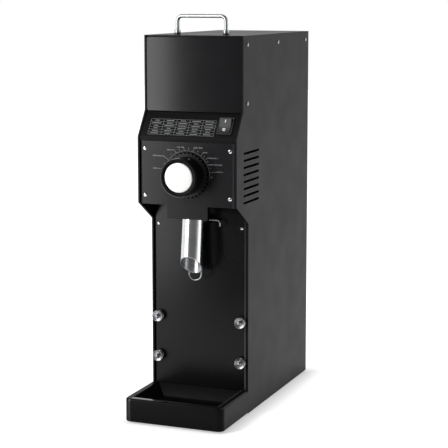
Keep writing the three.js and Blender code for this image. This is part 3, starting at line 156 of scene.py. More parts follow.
sweep = bpy.data.materials.new("white_sweep")
sweep.use_nodes = True
paint = sweep.node_tree
paint.nodes.clear()
# The sweep glows white to the eye and in reflections, and glows less within 5 cm of the machine's box: a
# painted contact shadow round its foot.
painted_shadow_glow, open_glow, painted_shadow_reach = 0.42, 1.0, 0.05
matt = add(paint, "ShaderNodeBsdfDiffuse", {"Color": srgb("#e4e4e4")})
spot = add(paint, "ShaderNodeTexCoord").outputs["Object"]
one_side = add(paint, "ShaderNodeVectorMath", {0: spot}, operation="ABSOLUTE")
past = add(paint, "ShaderNodeVectorMath", {0: one_side, 1: cad_box[1]}, operation="SUBTRACT")
outside = add(paint, "ShaderNodeVectorMath", {0: past, 1: (0, 0, 0)}, operation="MAXIMUM")
away = add(paint, "ShaderNodeVectorMath", {0: outside}, operation="LENGTH").outputs["Value"]
glow_with_painted_shadow = add(paint, "ShaderNodeMapRange", {"Value": away, "From Min": 0, "From Max": painted_shadow_reach,
                                            "To Min": painted_shadow_glow, "To Max": open_glow})
lift = calculate(paint, "MULTIPLY", seen_directly(paint), glow_with_painted_shadow)
glow = add(paint, "ShaderNodeEmission", {"Color": white, "Strength": lift})
both = add(paint, "ShaderNodeAddShader", {0: matt, 1: glow})
add(paint, "ShaderNodeOutputMaterial", {"Surface": both})
floor_reach, floor_front = 8, -0.8
floor_mesh = bpy.data.meshes.new("floor")
floor_mesh.from_pydata([(-floor_reach, floor_front, 0), (floor_reach, floor_front, 0),
                        (floor_reach, floor_reach, 0), (-floor_reach, floor_reach, 0)], [], [(0, 1, 2, 3)])
floor_mesh.materials.append(sweep)
floor = bpy.data.objects.new("floor", floor_mesh)
scene.collection.objects.link(floor)


def lamp(name, azimuth, distance, height, width, tall, radiance, aim_height):
    """A soft box at an azimuth from the front towards the right, which faces the machine."""
    turn, aim = math.radians(azimuth), Vector((0, -0.1, aim_height))
    data = bpy.data.lights.new(name, "AREA")
    data.shape = "RECTANGLE"
    data.size, data.size_y = width, tall
    data.energy = radiance * math.pi * width * tall
    lit = bpy.data.objects.new(name, data)
    lit.location = (aim.x + distance * math.sin(turn), aim.y - distance * math.cos(turn), height)
    lit.rotation_euler = (aim - lit.location).to_track_quat("-Z", "Y").to_euler()
    lit.visible_camera = False
    scene.collection.objects.link(lit)


lamp("front_left_soft_box", -37, 1.15, 1.02, 0.46, 2.04, 7.6, aim_height=1.02)
lamp("right_soft_box", 112, 1.4, 0.6, 1.2, 1.2, 0.78, aim_height=0.6)
lamp("top_soft_box", 170, 0.8, 1.9, 1.0, 0.8, 1.2, aim_height=0.4)

# Chassis: a zinc-plated sheet pan folded up at both sides, on four moulded rubber feet. Zinc
# plating gives bare sheet a dull grey shine that is broken into faint patches, and the rubber
# hardly shines at all. From here on every size is in mm, and piece() turns it into metres.
mm = 0.001
Box = namedtuple("Box", "left front bottom right back top")


def box_of(node):
    """A CAD node's box, to a tenth of a mm."""
    return Box(*(round(value / mm, 1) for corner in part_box(node) for value in corner))


def middle_of(node):
    box = box_of(node)
    return Vector(((box.left + box.right) / 2, (box.front + box.back) / 2, (box.bottom + box.top) / 2))


def pattern(tree, size, detail, stretch=(1, 1, 1)):
    """Noise in object space. Its features are about size mm wide, longer where stretched."""
    place = add(tree, "ShaderNodeTexCoord").outputs["Object"]
    scale = [1 / (size * mm * s) for s in stretch]
    spread = add(tree, "ShaderNodeMapping", {"Vector": place, "Scale": scale})
    return add(tree, "ShaderNodeTexNoise", {"Vector": spread, "Scale": 1, "Detail": detail})


def made_of(name, dark, light, rough, size, grain, depth, metal=0, shine=0.5, stretch=(1, 1, 1)):
    """Two close tones and a roughness that drift over size, under a fine relief of grain and depth."""
    made = bpy.data.materials.new(name)
    made.use_nodes = True
    tree = made.node_tree
    tree.nodes.clear()
    drift = pattern(tree, size, 3)
    first_colour, second_colour, mixed_colour = 6, 7, 2
    tone = add(tree, "ShaderNodeMix", {0: drift, first_colour: srgb(dark), second_colour: srgb(light)},
               data_type="RGBA").outputs[mixed_colour]
    worn = add(tree, "ShaderNodeMapRange", {"Value": drift, "From Min": 0.3, "From Max": 0.7,
                                            "To Min": rough[0], "To Max": rough[1]})
    bump = add(tree, "ShaderNodeBump", {"Height": pattern(tree, grain, 2, stretch), "Distance": depth * mm,
                                        "Strength": 1})
    surface = add(tree, "ShaderNodeBsdfPrincipled", {
        "Base Color": tone, "Roughness": worn, "Metallic": metal,
        "Specular IOR Level": shine, "Normal": bump})
    add(tree, "ShaderNodeOutputMaterial", {"Surface": surface})
    return made


zinc = made_of("zinc_plated_sheet", "#8f9294", "#b4b7b8", (0.34, 0.5), 12, 1.5, 0.02, metal=1)
rubber = made_of("moulded_rubber", "#141414", "#1e1e1d", (0.75, 0.9), 10, 0.5, 0.04)


def finish_node(name, material):
    """Gives a CAD node its finish, and leaves its mesh and place as they are."""
    node = bpy.data.objects[name]
    for place in node.material_slots:
        place.material = material
    if not node.material_slots:
        node.data.materials.append(material)


def prism(outlines, low, high, plane="XZ"):
    """A closed plate through one outline, with any further outlines as holes."""
    corners = [point for loop in outlines for point in loop]
    verts = [{"XY": (a, b, level), "XZ": (a, level, b), "YZ": (level, a, b)}[plane]
             for level in (low, high) for a, b in corners]
    n = len(corners)
    if len(outlines) == 1:
        caps = [tuple(range(n))]
    else:
        caps = tessellate_polygon([[Vector((a, b, 0)) for a, b in loop] for loop in outlines])
    faces = [tuple(cap) for cap in caps] + [tuple(i + n for i in reversed(cap)) for cap in caps]
    start = 0
    for loop in outlines:
        for i in range(len(loop)):
            a, b = start + i, start + (i + 1) % len(loop)
            faces.append((a, b, b + n, a + n))
        start += len(loop)
    return verts, faces


def arc(centre, radius, start, sweep, steps):
    """Points along a round arc, which starts at an angle and sweeps by another, in degrees."""
    turns = [math.radians(start + sweep * k / steps) for k in range(steps + 1)]
    return [(centre[0] + radius * math.cos(a), centre[1] + radius * math.sin(a)) for a in turns]


def circle(radius, sides, centre=(0, 0)):
    return arc(centre, radius, 0, 360, sides)[:-1]


def skin(rows, around=True, ends=True, first=0):
    """Points and faces between rows of equally many points, from point number first on."""
    n, faces = len(rows[0]), []
    for row in range(first, first + (len(rows) - 1) * n, n):
        faces += [(row + i, row + (i + 1) % n, row + (i + 1) % n + n, row + i + n)
                  for i in range(n if around else n - 1)]
    if ends:
        faces += [tuple(range(row, row + n)) for row in (first, first + (len(rows) - 1) * n)]
    return [point for row in rows for point in row], faces


def turned(profile, sides=48, centre=(0, 0), axis="Y"):
    """A turned shape from (radius, position) pairs, from axis to axis or back to its first pair."""
    return skin([[{"X": (along, u, v), "Y": (u, along, v), "Z": (u, v, along)}[axis]
                  for u, v in circle(radius, sides, centre)] for radius, along in profile], ends=False)


def piece(name, shapes, material, body="housing", replaces=(), slot=None, edge=0, smooth=38):
    """One object of closed shapes, with its sharp edges eased and its round faces smooth."""
    work = bmesh.new()
    for verts, faces in shapes:
        made = [work.verts.new(Vector(v) * mm) for v in verts]
        for face in faces:
            work.faces.new([made[i] for i in face])
        bmesh.ops.remove_doubles(work, verts=made, dist=1e-7)
    bmesh.ops.recalc_face_normals(work, faces=work.faces)
    for face in work.faces:
        face.smooth = True
    mesh = bpy.data.meshes.new(name)
    work.to_mesh(mesh)
    work.free()
    mesh.set_sharp_from_angle(angle=math.radians(smooth))
    mesh.materials.append(material)
    made = bpy.data.objects.new(name, mesh)
    scene.collection.objects.link(made)
    if edge:
        ease = made.modifiers.new("eased_edges", "BEVEL")
        ease.width, ease.segments = edge * mm, 2
        ease.limit_method, ease.angle_limit = "ANGLE", math.radians(smooth)
        ease.harden_normals = True
    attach(made, body)
    if replaces:
        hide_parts(*replaces)
    return made


finish_node("chassis_plate", zinc)
for corner in ("front_left", "front_right", "rear_left", "rear_right"):
    foot, centre = box_of(f"foot_{corner}"), middle_of(f"foot_{corner}")
    radius, tall = (foot.back - foot.front) / 2, foot.top
    profile = [(0, 0), (radius - 1.8, 0), (radius - 0.6, 0.5), (radius, 1.8), (radius, tall - 0.8),
               (radius - 0.6, tall), (0, tall)]
    piece(f"foot_look_{corner}", [turned(profile, 40, (centre.x, centre.y), "Z")], rubber,
          replaces=[f"foot_{corner}"], slot="rubber")


# Side panels: 3 mm steel sheet, cut by laser to the stepped profile and powder coated in satin
# black. The coat is a plastic skin with a fine orange peel, so it shines softly and never mirrors,
# and the cut edges stay crisp. The sides stand 1.5 mm proud of the sheets between them.
def eased(before, corner, after, radius, steps):
    """Points that round a corner between two others."""
    start, end = (corner + (side - corner).normalized() * radius for side in (before, after))
    ways = [k / steps for k in range(steps + 1)]
    return [start * (1 - t) ** 2 + corner * 2 * t * (1 - t) + end * t * t for t in ways]


def eased_outline(points, radius, steps=5):
    """A closed outline whose corners are rounded."""
    loop = [Vector(point) for point in (points[-1], *points, points[0])]
    return [tuple(spot) for three in zip(loop, loop[1:], loop[2:]) for spot in eased(*three, radius, steps)]


def slot_outline(start, end, level, height):
    half = height / 2
    return arc((end - half, level), half, -90, 180, 8) + arc((start + half, level), half, 90, 180, 8)


satin_black = made_of("satin_black_powder_coat", "#101012", "#131315", (0.36, 0.42), 50, 0.9, 0.008,
                      shine=0.07)
cabinet, fascia, hopper = box_of("side_panel_right"), box_of("control_fascia"), box_of("hopper_front_panel")
half_width, inner_half = box_of("front_tray").right, fascia.right
reveal, column_front, chin_top = 1.5, -98, box_of("head_floor").top
hopper_front, slope_foot, chin_foot = hopper.front - reveal, fascia.bottom + 6, chin_top - 35
profile = [(column_front, cabinet.bottom), (cabinet.back, cabinet.bottom), (cabinet.back, cabinet.top),
           (hopper_front, cabinet.top), (hopper_front, hopper.bottom + reveal), (cabinet.front, slope_foot),
           (cabinet.front, chin_top), (column_front, chin_foot)]
vent_front, vent_back, vent_top, vent_pitch, vent_height = -121.5, -47.5, 462, 12.1, 4
vents = [slot_outline(vent_front, vent_back, vent_top - vent_pitch * i, vent_height) for i in range(8)]
for side, low, high in (("left", -half_width, -cabinet.left), ("right", cabinet.left, half_width)):
    piece(f"side_look_{side}", [prism([eased_outline(profile, 1.2), *vents], low, high, "YZ")], satin_black,
          replaces=[f"side_panel_{side}"], slot="black_steel", edge=0.45)


# Panel screws: stainless button heads with a hexagon socket, and blackened ones on the sides. One
# node tree sets a head on each point, so all the screws of the cabinet are the same real thing.
def node_group(name, inputs):
    group = bpy.data.node_groups.new(name, "GeometryNodeTree")
    group.interface.new_socket(name="Geometry", in_out="OUTPUT", socket_type="NodeSocketGeometry")
    group.interface.new_socket(name="Geometry", in_out="INPUT", socket_type="NodeSocketGeometry")
    for label, value in inputs.items():
        kind = "NodeSocketInt" if isinstance(value, int) else "NodeSocketFloat"
        group.interface.new_socket(name=label, in_out="INPUT", socket_type=kind).default_value = value
    group.interface.new_socket(name="Material", in_out="INPUT", socket_type="NodeSocketMaterial")
    return group, add(group, "NodeGroupInput").outputs


def close_group(group, given, geometry):
    real = add(group, "GeometryNodeRealizeInstances", {0: geometry})
    dressed = add(group, "GeometryNodeSetMaterial", {"Geometry": real, "Material": given["Material"]})
    group.links.new(dressed.outputs[0], add(group, "NodeGroupOutput").inputs[0])


def join(group, *sources):
    made = add(group, "GeometryNodeJoinGeometry")
    for source in sources:
        group.links.new(source.outputs[0], made.inputs[0])
    return made


def working_object(name, verts, faces=()):
    mesh = bpy.data.meshes.new(name)
    mesh.from_pydata([Vector(v) * mm for v in verts], [], list(faces))
    made = bpy.data.objects.new(name, mesh)
    scene.collection.objects.link(made)
    return made


def shape_of(holder):
    """The evaluated shape of a working object, which is then removed."""
    holder.update_tag()
    graph = bpy.context.evaluated_depsgraph_get()
    mesh = bpy.data.meshes.new_from_object(holder.evaluated_get(graph))
    shape = ([tuple(v.co / mm) for v in mesh.vertices], [tuple(f.vertices) for f in mesh.polygons])
    bpy.data.objects.remove(holder)
    return shape


def grown(group, points, values):
    """What a node tree makes of loose points. Its lengths are in metres, as in the tree."""
    holder = working_object(group.name, points)
    modifier = holder.modifiers.new(group.name, "NODES")
    modifier.node_group = group
    for entry in group.interface.items_tree:
        if entry.item_type == "SOCKET" and entry.in_out == "INPUT" and entry.name in values:
            modifier[entry.identifier] = values[entry.name]
    return shape_of(holder)


def moved(shape, matrix):
    return [tuple(matrix @ Vector(v)) for v in shape[0]], shape[1]


def lifted(group, geometry, height):
    offset = add(group, "ShaderNodeCombineXYZ", {"Z": height})
    return add(group, "GeometryNodeTransform", {"Geometry": geometry, "Translation": offset})


screw_set, given = node_group("screw_set", {"Head Radius": 0.0036, "Head Height": 0.0022,
                                            "Socket Radius": 0.0014})
blank = add(screw_set, "GeometryNodeMeshCylinder", {"Vertices": 28, "Radius": given["Head Radius"],
                                                    "Depth": given["Head Height"]})
standing = lifted(screw_set, blank, calculate(screw_set, "MULTIPLY", given["Head Height"], 0.5))
ball_radius = calculate(screw_set, "MULTIPLY", given["Head Radius"], 1.3)
ball = add(screw_set, "GeometryNodeMeshUVSphere", {"Segments": 28, "Rings": 20, "Radius": ball_radius})
dome = lifted(screw_set, ball, calculate(screw_set, "SUBTRACT", given["Head Height"], ball_radius))
button = add(screw_set, "GeometryNodeMeshBoolean", operation="INTERSECT")
for source in (standing, dome):
    screw_set.links.new(source.outputs[0], button.inputs["Mesh 2"])
hexagon = add(screw_set, "GeometryNodeMeshCylinder", {"Vertices": 6, "Radius": given["Socket Radius"],
                                                      "Depth": given["Head Height"]})
key_hole = lifted(screw_set, hexagon, given["Head Height"])
head = add(screw_set, "GeometryNodeMeshBoolean", {"Mesh 1": button, "Mesh 2": key_hole},
           operation="DIFFERENCE")
heads = add(screw_set, "GeometryNodeInstanceOnPoints", {"Points": given["Geometry"], "Instance": head})
close_group(screw_set, given, heads)
polished = made_of("polished_stainless", "#c9cacc", "#dcdddf", (0.12, 0.18), 20, 1.2, 0.004, metal=1)
side_steel = made_of("blackened_screw_steel", "#8c8d8f", "#9e9fa1", (0.26, 0.34), 6, 0.5, 0.006, metal=1)


def screws(name, places, outward, radius=3.6, finish=polished, **ride):
    """Heads on places, which are points in mm on a surface that faces outward."""
    frame_of = Vector(outward).to_track_quat("Z", "Y").to_matrix().to_4x4()
    local = [frame_of.inverted() @ Vector(place) for place in places]
    values = {"Head Radius": radius * mm, "Head Height": 2.2 * mm, "Socket Radius": radius * 0.42 * mm,
              "Material": finish}
    return piece(name, [moved(grown(screw_set, local, values), frame_of)], finish, slot="bright_steel",
                 smooth=30, **ride)


first_y, last_y, upper_z, lower_z = hopper_front + 21, cabinet.back - 18, cabinet.top - 15, 546
side_places = [(first_y, upper_z), ((first_y + last_y) / 2, upper_z), (last_y, upper_z), (first_y, lower_z)]
for side, sign in (("right", 1), ("left", -1)):
    screws(f"side_screws_{side}", [(sign * half_width, y, z) for y, z in side_places], (sign, 0, 0),
           finish=side_steel)


# Rear panel: 2 mm powder-coated sheet set in between the sides, with slots that let the motor's
# air out. Below it sits a moulded mains inlet with three flat plated pins. No lead is plugged in.
def rounded_box(half, low, high, radius, steps=6):
    """A rounded rectangle that is centred across."""
    return eased_outline([(-half, low), (half, low), (half, high), (-half, high)], radius, steps)


def block(x0, x1, y0, y1, z0, z1):
    return prism([[(x0, z0), (x1, z0), (x1, z1), (x0, z1)]], y0, y1)


def cup(frame, body, opening, levels):
    """A framed cup, from its mouth to the outside of its floor."""
    mouth, neck, floor, end = levels
    return [prism([frame, opening], mouth, neck), prism([body, opening], neck, floor),
            prism([body], floor, end)]


rear, inlet = box_of("rear_panel"), box_of("power_inlet")
flange, lip, gap, wall, body_half = 2, 1.5, 0.3, 2, 14
body_low, body_high, inlet_middle = inlet.bottom + lip, inlet.top - lip, (inlet.bottom + inlet.top) / 2
slot_half, first_slot, slot_pitch, slot_height, pin_start, pin_end = 42, 458, 11, 3, 198, 212
rear_slots = [slot_outline(-slot_half, slot_half, first_slot - slot_pitch * i, slot_height) for i in range(7)]
inlet_hole = rounded_box(body_half + gap, body_low - gap, body_high + gap, 4)
piece("rear_panel_look", [prism([rounded_box(inner_half, rear.bottom, rear.top, 1.5), inlet_hole,
                                 *rear_slots], rear.front, rear.back)],
      satin_black, replaces=["rear_panel"], slot="black_steel", edge=0.4)
screws("rear_screws", [(x, rear.back, z) for x in (-80, 80) for z in (22, 230, 440, 646)], (0, 1, 0))
moulded_black = made_of("moulded_black_plastic", "#141415", "#1b1b1c", (0.38, 0.5), 20, 0.4, 0.01, shine=0.35)
inlet_shapes = cup(rounded_box(inlet.right, inlet.bottom, inlet.top, 4),
                   rounded_box(body_half, body_low, body_high, 4),
                   rounded_box(body_half - wall, body_low + wall, body_high - wall, 2.5),
                   (inlet.back, inlet.back - flange, inlet.front + wall, inlet.front))
piece("power_inlet_look", inlet_shapes, moulded_black, replaces=["power_inlet"],
      slot="black_plastic", edge=0.4)
pins = [block(x - 1, x + 1, pin_start, pin_end, z - 2, z + 2)
        for x, z in ((-7, inlet_middle - 2), (0, inlet_middle + 2), (7, inlet_middle - 2))]
piece("inlet_pins", pins, polished, slot="bright_steel", edge=0.3)
screws("inlet_screws", [(x, rear.back, inlet_middle) for x in (-20, 20)], (0, 1, 0), radius=2.6)

# Inner works: the cast burr head with its hard burrs and auger, the motor of laminated steel, and
# the sheet funnel. They are bare metal as machined, cast or plated. Casting looks dull and pitted,
# and turning leaves fine rings that draw a lamp out sideways.
cast = made_of("cast_and_machined_iron", "#4b4c4e", "#66686a", (0.5, 0.7), 8, 1.6, 0.12, metal=0.85)
tool_steel = made_of("ground_tool_steel", "#8b8c8f", "#a4a5a8", (0.22, 0.32), 6, 0.4, 0.008, metal=1,
                     stretch=(6, 1, 6))
turned_steel = made_of("turned_steel", "#a2a3a6", "#bcbdc0", (0.18, 0.28), 20, 0.5, 0.008, metal=1,
                       stretch=(20, 1, 20))
brass = made_of("turned_brass", "#a07c3c", "#bd9a55", (0.22, 0.34), 10, 0.5, 0.008, metal=1,
                stretch=(20, 1, 20))
laminations = made_of("steel_laminations", "#6d6e72", "#8c8d91", (0.4, 0.55), 4, 0.6, 0.1, metal=0.9,
                      stretch=(60, 1, 60))
funnel_steel = made_of("brushed_funnel_sheet", "#a6a8aa", "#bfc1c3", (0.28, 0.38), 30, 0.5, 0.006, metal=1,
                       stretch=(1, 1, 40))
for material, names in (
    (cast, "grinder_housing chamber_cover motor_front_bell motor_rear_bell burr_carrier feed_auger"),
    (tool_steel, "fixed_burr moving_burr"),
    (turned_steel, "main_shaft front_bearing rear_bearing dial_spindle lid_hinge_pin"),
    (brass, "dial_bush thrust_cup"),
    (laminations, "stator_core rotor_core"),
    (zinc, "motor_shell motor_cradle run_capacitor"),
    (funnel_steel, "hopper_funnel"),
    (moulded_black, "cooling_fan control_box"),
    (satin_black, "head_floor"),
):
    for name in names.split():
        finish_node(name, material)


# Control fascia: one sheet bent twice, so that its slope faces the user between the hopper and the
# dial plate, with an opening for the switch. Its coat is the sides' coat made a deeper black, which
# paints in shade on its upward slope.
def eased_path(points, radius, steps=8):
    """A path whose inner corners are rounded."""
    path = [Vector(point) for point in points]
    inner = [spot for three in zip(path, path[1:], path[2:]) for spot in eased(*three, radius, steps)]
    return [path[0], *inner, path[-1]]


def heading(path, i):
    """The way along a path at one of its points."""
    return (path[min(i + 1, len(path) - 1)] - path[max(i - 1, 0)]).normalized()


def band(points, thickness, half, bend=1.6):
    """A bent sheet across the machine, from its outer line in y and z, with the sheet on its left."""
    outer, inner = eased_path(points, bend, 4), []
    for i, point in enumerate(outer):
        run = heading(outer, i)
        inner.append(point + Vector((-run.y, run.x)) * thickness)
    return prism([[tuple(p) for p in outer + inner[::-1]]], -half, half, "YZ")


def carved(shape, tool):
    """The shape with the tool's shape cut out of it."""
    made = []
    for verts, faces in (shape, tool):
        made.append(working_object("carving", verts, faces))
        work = bmesh.new()
        work.from_mesh(made[-1].data)
        bmesh.ops.recalc_face_normals(work, faces=work.faces)
        work.to_mesh(made[-1].data)
        work.free()
    away = made[0].modifiers.new("cut", "BOOLEAN")
    away.operation, away.object, away.solver = "DIFFERENCE", made[1], "EXACT"
    result = shape_of(made[0])
    bpy.data.objects.remove(made[1])
    return result


slope = math.atan2(hopper.front - fascia.front, fascia.top - slope_foot)
slope_middle = Vector((0, (hopper.front + fascia.front) / 2, (fascia.top + slope_foot) / 2))
on_fascia = Matrix.Translation(slope_middle) @ Matrix.Rotation(-slope, 4, "X")
switch_place = on_fascia @ Matrix.Translation((middle_of("switch_body").x, 0, 0))
sheet = band([(fascia.back, fascia.top), (hopper.front, fascia.top), (fascia.front, slope_foot),
              (fascia.front, fascia.bottom)], 2, inner_half)
window_half, window_half_tall, cut_through = 12.3, 15.3, 6
window_outline = rounded_box(window_half, -window_half_tall, window_half_tall, 1)
window = moved(prism([window_outline], -cut_through, cut_through), switch_place)
# The sides' coat in a deeper black: painted shade on the upward slope.
painted_shade_fascia_coat = made_of("satin_black_fascia_painted_shade", "#09090b", "#0c0c0e", (0.36, 0.42), 50, 0.9, 0.008, shine=0.06)
piece("control_fascia_look", [carved(sheet, window)], painted_shade_fascia_coat, replaces=["control_fascia"],
      slot="black_steel", edge=0.3, smooth=30)

# Chart on the fascia: a generic ruled grid with short marks in its cells and no words. It is
# screen printed in pale ink, so it is flat and dull and only a tenth of a millimetre thick.
ink = made_of("pale_screen_ink", "#7c7d7e", "#8a8b8c", (0.55, 0.65), 4, 0.3, 0.01)
chart_ink = made_of("chart_screen_ink", "#a0a1a2", "#b2b3b4", (0.55, 0.65), 4, 0.3, 0.01)


def between_given(group, given, lowest, highest):
    """A random length for each point, between two of the tree's inputs."""
    float_min, float_max, float_result = 2, 3, 1
    return add(group, "FunctionNodeRandomValue", {
        float_min: given[lowest], float_max: given[highest], "Seed": given["Seed"]},
               data_type="FLOAT").outputs[float_result]


def bars(group, points, x, y, z):
    """A bar on each point, with its extent along x, y and z."""
    extent = add(group, "ShaderNodeCombineXYZ", {"X": x, "Y": y, "Z": z})
    bar = add(group, "GeometryNodeMeshCube")
    return add(group, "GeometryNodeInstanceOnPoints", {"Points": points, "Instance": bar, "Scale": extent})


chart_marks, given = node_group("chart_marks", {
    "Width": 0.1, "Height": 0.02, "Columns": 5, "Rows": 5, "Shortest": 0.005, "Longest": 0.015,
    "Line": 0.001, "Ink": 0.0001, "Seed": 3})
cells = add(chart_marks, "GeometryNodeMeshGrid", {
    "Size X": given["Width"], "Size Y": given["Height"], "Vertices X": given["Columns"],
    "Vertices Y": given["Rows"]})
length = between_given(chart_marks, given, "Shortest", "Longest")
close_group(chart_marks, given, bars(chart_marks, cells, length, given["Line"], given["Ink"]))

chart_left, chart_right, chart_low, chart_high, half_line, half_ink = -74.5, 46, -20.2, 10.2, 0.11, 0.05
chart_rows, column_lines = 6, (chart_left, -50, -26, -2, 22, chart_right)
lines = []
for k in range(chart_rows + 1):
    level = chart_low + (chart_high - chart_low) * k / chart_rows
    lines.append(block(chart_left, chart_right, -half_ink, half_ink, level - half_line, level + half_line))
for x in column_lines:
    lines.append(block(x - half_line, x + half_line, -half_ink, half_ink, chart_low, chart_high))
marks = grown(chart_marks, [(0, 0, 0)], {
    "Width": 97 * mm, "Height": 25.3 * mm, "Columns": 5, "Rows": chart_rows, "Shortest": 7 * mm,
    "Longest": 17 * mm, "Line": 0.7 * mm, "Ink": 0.1 * mm, "Seed": 7, "Material": chart_ink})
upright = Matrix.Rotation(math.radians(90), 4, "X")
chart_middle = Matrix.Translation(((chart_left + chart_right) / 2, (chart_low + chart_high) / 2, 0))
piece("fascia_chart", [moved(line, on_fascia) for line in lines]
      + [moved(marks, on_fascia @ upright @ chart_middle)], chart_ink, slot="white_plastic")

# Rocker switch: a moulded black frame snaps into the fascia, and a dark grey key tilts in it. The
# key has a dished face, with an upright stroke printed at its top end and a ring at its bottom end.
rim_front, sheet_face, case_back, case_end = -1.9, -0.3, 21.8, 24
switch_shapes = cup(rounded_box(13.5, -16.5, 16.5, 2), rounded_box(12, -15, 15, 1),
                    rounded_box(11.3, -14.1, 14.1, 0.8), (rim_front, sheet_face, case_back, case_end))
piece("switch_body_look", [moved(shape, switch_place) for shape in switch_shapes], moulded_black,
      replaces=["switch_body"], slot="black_plastic", edge=0.5)
grey_plastic = made_of("grey_moulded_plastic", "#232426", "#292a2c", (0.35, 0.45), 10, 0.4, 0.01, shine=0.4)
bright_ink = made_of("white_screen_ink", "#e6e6e4", "#f2f2f0", (0.45, 0.55), 4, 0.3, 0.01)
key_tilt, key_half, key_half_tall, face_depth, dish = 7, 10.5, 13.3, -3.2, 2.0
key_place = switch_place @ Matrix.Rotation(math.radians(key_tilt), 4, "X")
face_line = [(face_depth - dish * (1 - k / 8) ** 2, key_half_tall * (1 - k / 8)) for k in range(17)]
key = prism([face_line + [(2.8, -11.3), (8, -4), (8, 4), (2.8, 11.3)]], -key_half, key_half, "YZ")
piece("rocker_key_look", [moved(key, key_place)], grey_plastic, "rocker", ["rocker_key"], "grey_plastic",
      edge=0.8, smooth=30)
stroke = block(-0.8, 0.8, -4.72, -4.3, 5.2, 10.2)
mark_ring = prism([circle(2.6, 32, (0, -7.6)), circle(1.5, 32, (0, -7.6))], -4.78, -3.6)
piece("rocker_marks", [moved(stroke, key_place), moved(mark_ring, key_place)], bright_ink, "rocker",
      slot="white_plastic")


# Dial plate: a folded steel pan with a tongue that hides the top of the spout. Its side edges are
# bent round a 5 mm radius. Their faces towards the right front are painted a lighter grey and made
# glossier, a painted highlight that shows as one bright line.
def pan(half, face, low, high, tongue=None, depth=11, radius=5, sheet=3, steps=10):
    """A folded pan that faces the front, between two levels, with an optional tongue."""
    flat = half - radius
    front = [(-flat, low), (-flat, high), (flat, high), (flat, low)]
    if tongue:
        reach, foot = tongue
        front += [(reach, low), (reach, foot), (-reach, foot), (-reach, low)]
    verts = [(x, y, z) for y in (face, face + sheet) for x, z in front]
    n = len(front)
    faces = [tuple(range(n)), tuple(range(2 * n - 1, n - 1, -1))]
    meets_a_bend = (0, 2)
    faces += [(i, (i + 1) % n, (i + 1) % n + n, i + n) for i in range(n) if i not in meets_a_bend]
    section = arc((flat, face + radius), radius, -90, 90, steps) + [
        (half, face + depth), (half - sheet, face + depth), (flat, face + sheet)]
    for sign in (-1, 1):
        ends = [[(sign * x, y, z) for x, y in section] for z in (low, high)]
        fold = skin(ends, around=False, first=len(verts))
        verts, faces = verts + fold[0], faces + fold[1]
    return verts, faces


def finish_where(made, material, test):
    """Another finish for the faces whose normal and centre, in mm, pass the test."""
    made.data.materials.append(material)
    for face in made.data.polygons:
        if test(face.normal, face.center / mm):
            face.material_index = len(made.data.materials) - 1


def folded_panel(name, shape, material, node):
    made = piece(name, [shape], material, replaces=[node], slot="black_steel", edge=0.4, smooth=30)
    # The bends' faces towards the right front get a lighter, glossier coat: a painted highlight.
    finish_where(made, bend_painted_highlight, lambda normal, centre: 0.17 < normal.x < 0.75 and normal.y < -0.2)


def front_screws(name, nodes, face, radius=3.6):
    """Heads on a face towards the front, in place of the nodes' own."""
    places = [(middle_of(node).x, face, middle_of(node).z) for node in nodes]
    screws(name, places, (0, -1, 0), radius, replaces=nodes)


front_black = made_of("satin_black_front", "#09090a", "#0b0b0c", (0.25, 0.28), 60, 0.9, 0.006, shine=0.14)
plate_black = made_of("satin_black_dial_plate", "#19191b", "#1c1c1e", (0.26, 0.3), 60, 0.9, 0.006, shine=0.12)
# A lighter grey than the plate, for the painted highlight on the bends.
bend_painted_highlight = made_of("painted_highlight_on_bends", "#38383a", "#3e3e40", (0.2, 0.26), 60, 0.9, 0.004, shine=0.3)
plate = box_of("dial_plate")
plate_shape = pan(inner_half, plate.front, chin_top - reveal, plate.top, (37.5, plate.bottom))
folded_panel("dial_plate_look", plate_shape, plate_black, "dial_plate")
corners = "upper_left", "upper_right", "lower_left", "lower_right"
front_screws("dial_plate_screws", [f"dial_plate_screw_{corner}" for corner in corners], plate.front)

# Dial scale, printed on the plate round the knob in the pale ink: a thin arc with plain numbers,
# and rows of small generic dashes where a grind's name could stand. It carries no words.
letter_marks, given = node_group("letter_marks", {
    "Width": 0.001, "Lowest": 0.0007, "Highest": 0.0015, "Ink": 0.0001, "Seed": 5})
letter_height = between_given(letter_marks, given, "Lowest", "Highest")
close_group(letter_marks, given, bars(letter_marks, given["Geometry"], given["Width"], given["Ink"],
                                      letter_height))

dial_x, dial_z = middle_of("dial_ring").x, middle_of("dial_ring").z
arc_radius, arc_line, arc_start, arc_sweep, arc_steps = 41.9, 0.36, 166, -174, 87
word_gap, letter_pitch, leader_line, ink_proud = 6, 1.45, 0.45, 0.06
number_offset, number_size = 3.6, 3.9
labels = [(-63.4, -43, 456.4), (-63, -52.5, 434.9), (-36.7, -23, 467.4), (-18.6, -5.5, 472.6),
          (13.1, 30, 472.5), (29.9, 38.5, 465), (37.7, 57, 456), (40.5, 64, 445), (54, 67, 433.2)]
number_turns = [156, 131, 108, 86, 64, 46, 33, 17, -2]


def on_arc(radius, degrees):
    turn = math.radians(degrees)
    return radius * math.cos(turn), dial_z + radius * math.sin(turn)


def leader(start, stop):
    """A flat printed line on the dial plate between two places, x and z in mm."""
    run = Vector(stop) - Vector(start)
    bar = block(0, run.length, -ink_proud, ink_proud, -leader_line / 2, leader_line / 2)
    place = Matrix.Translation((start[0], plate.front, start[1]))
    return moved(bar, place @ Matrix.Rotation(-math.atan2(run.y, run.x), 4, "Y"))


def digits(text, x, z):
    curve = bpy.data.curves.new("digits", "FONT")
    curve.body, curve.size, curve.extrude = text, number_size * mm, 0.05 * mm
    curve.align_x, curve.align_y = "CENTER", "CENTER"
    holder = bpy.data.objects.new("digits", curve)
    scene.collection.objects.link(holder)
    return moved(shape_of(holder), Matrix.Translation((x, plate.front - ink_proud, z)) @ upright)


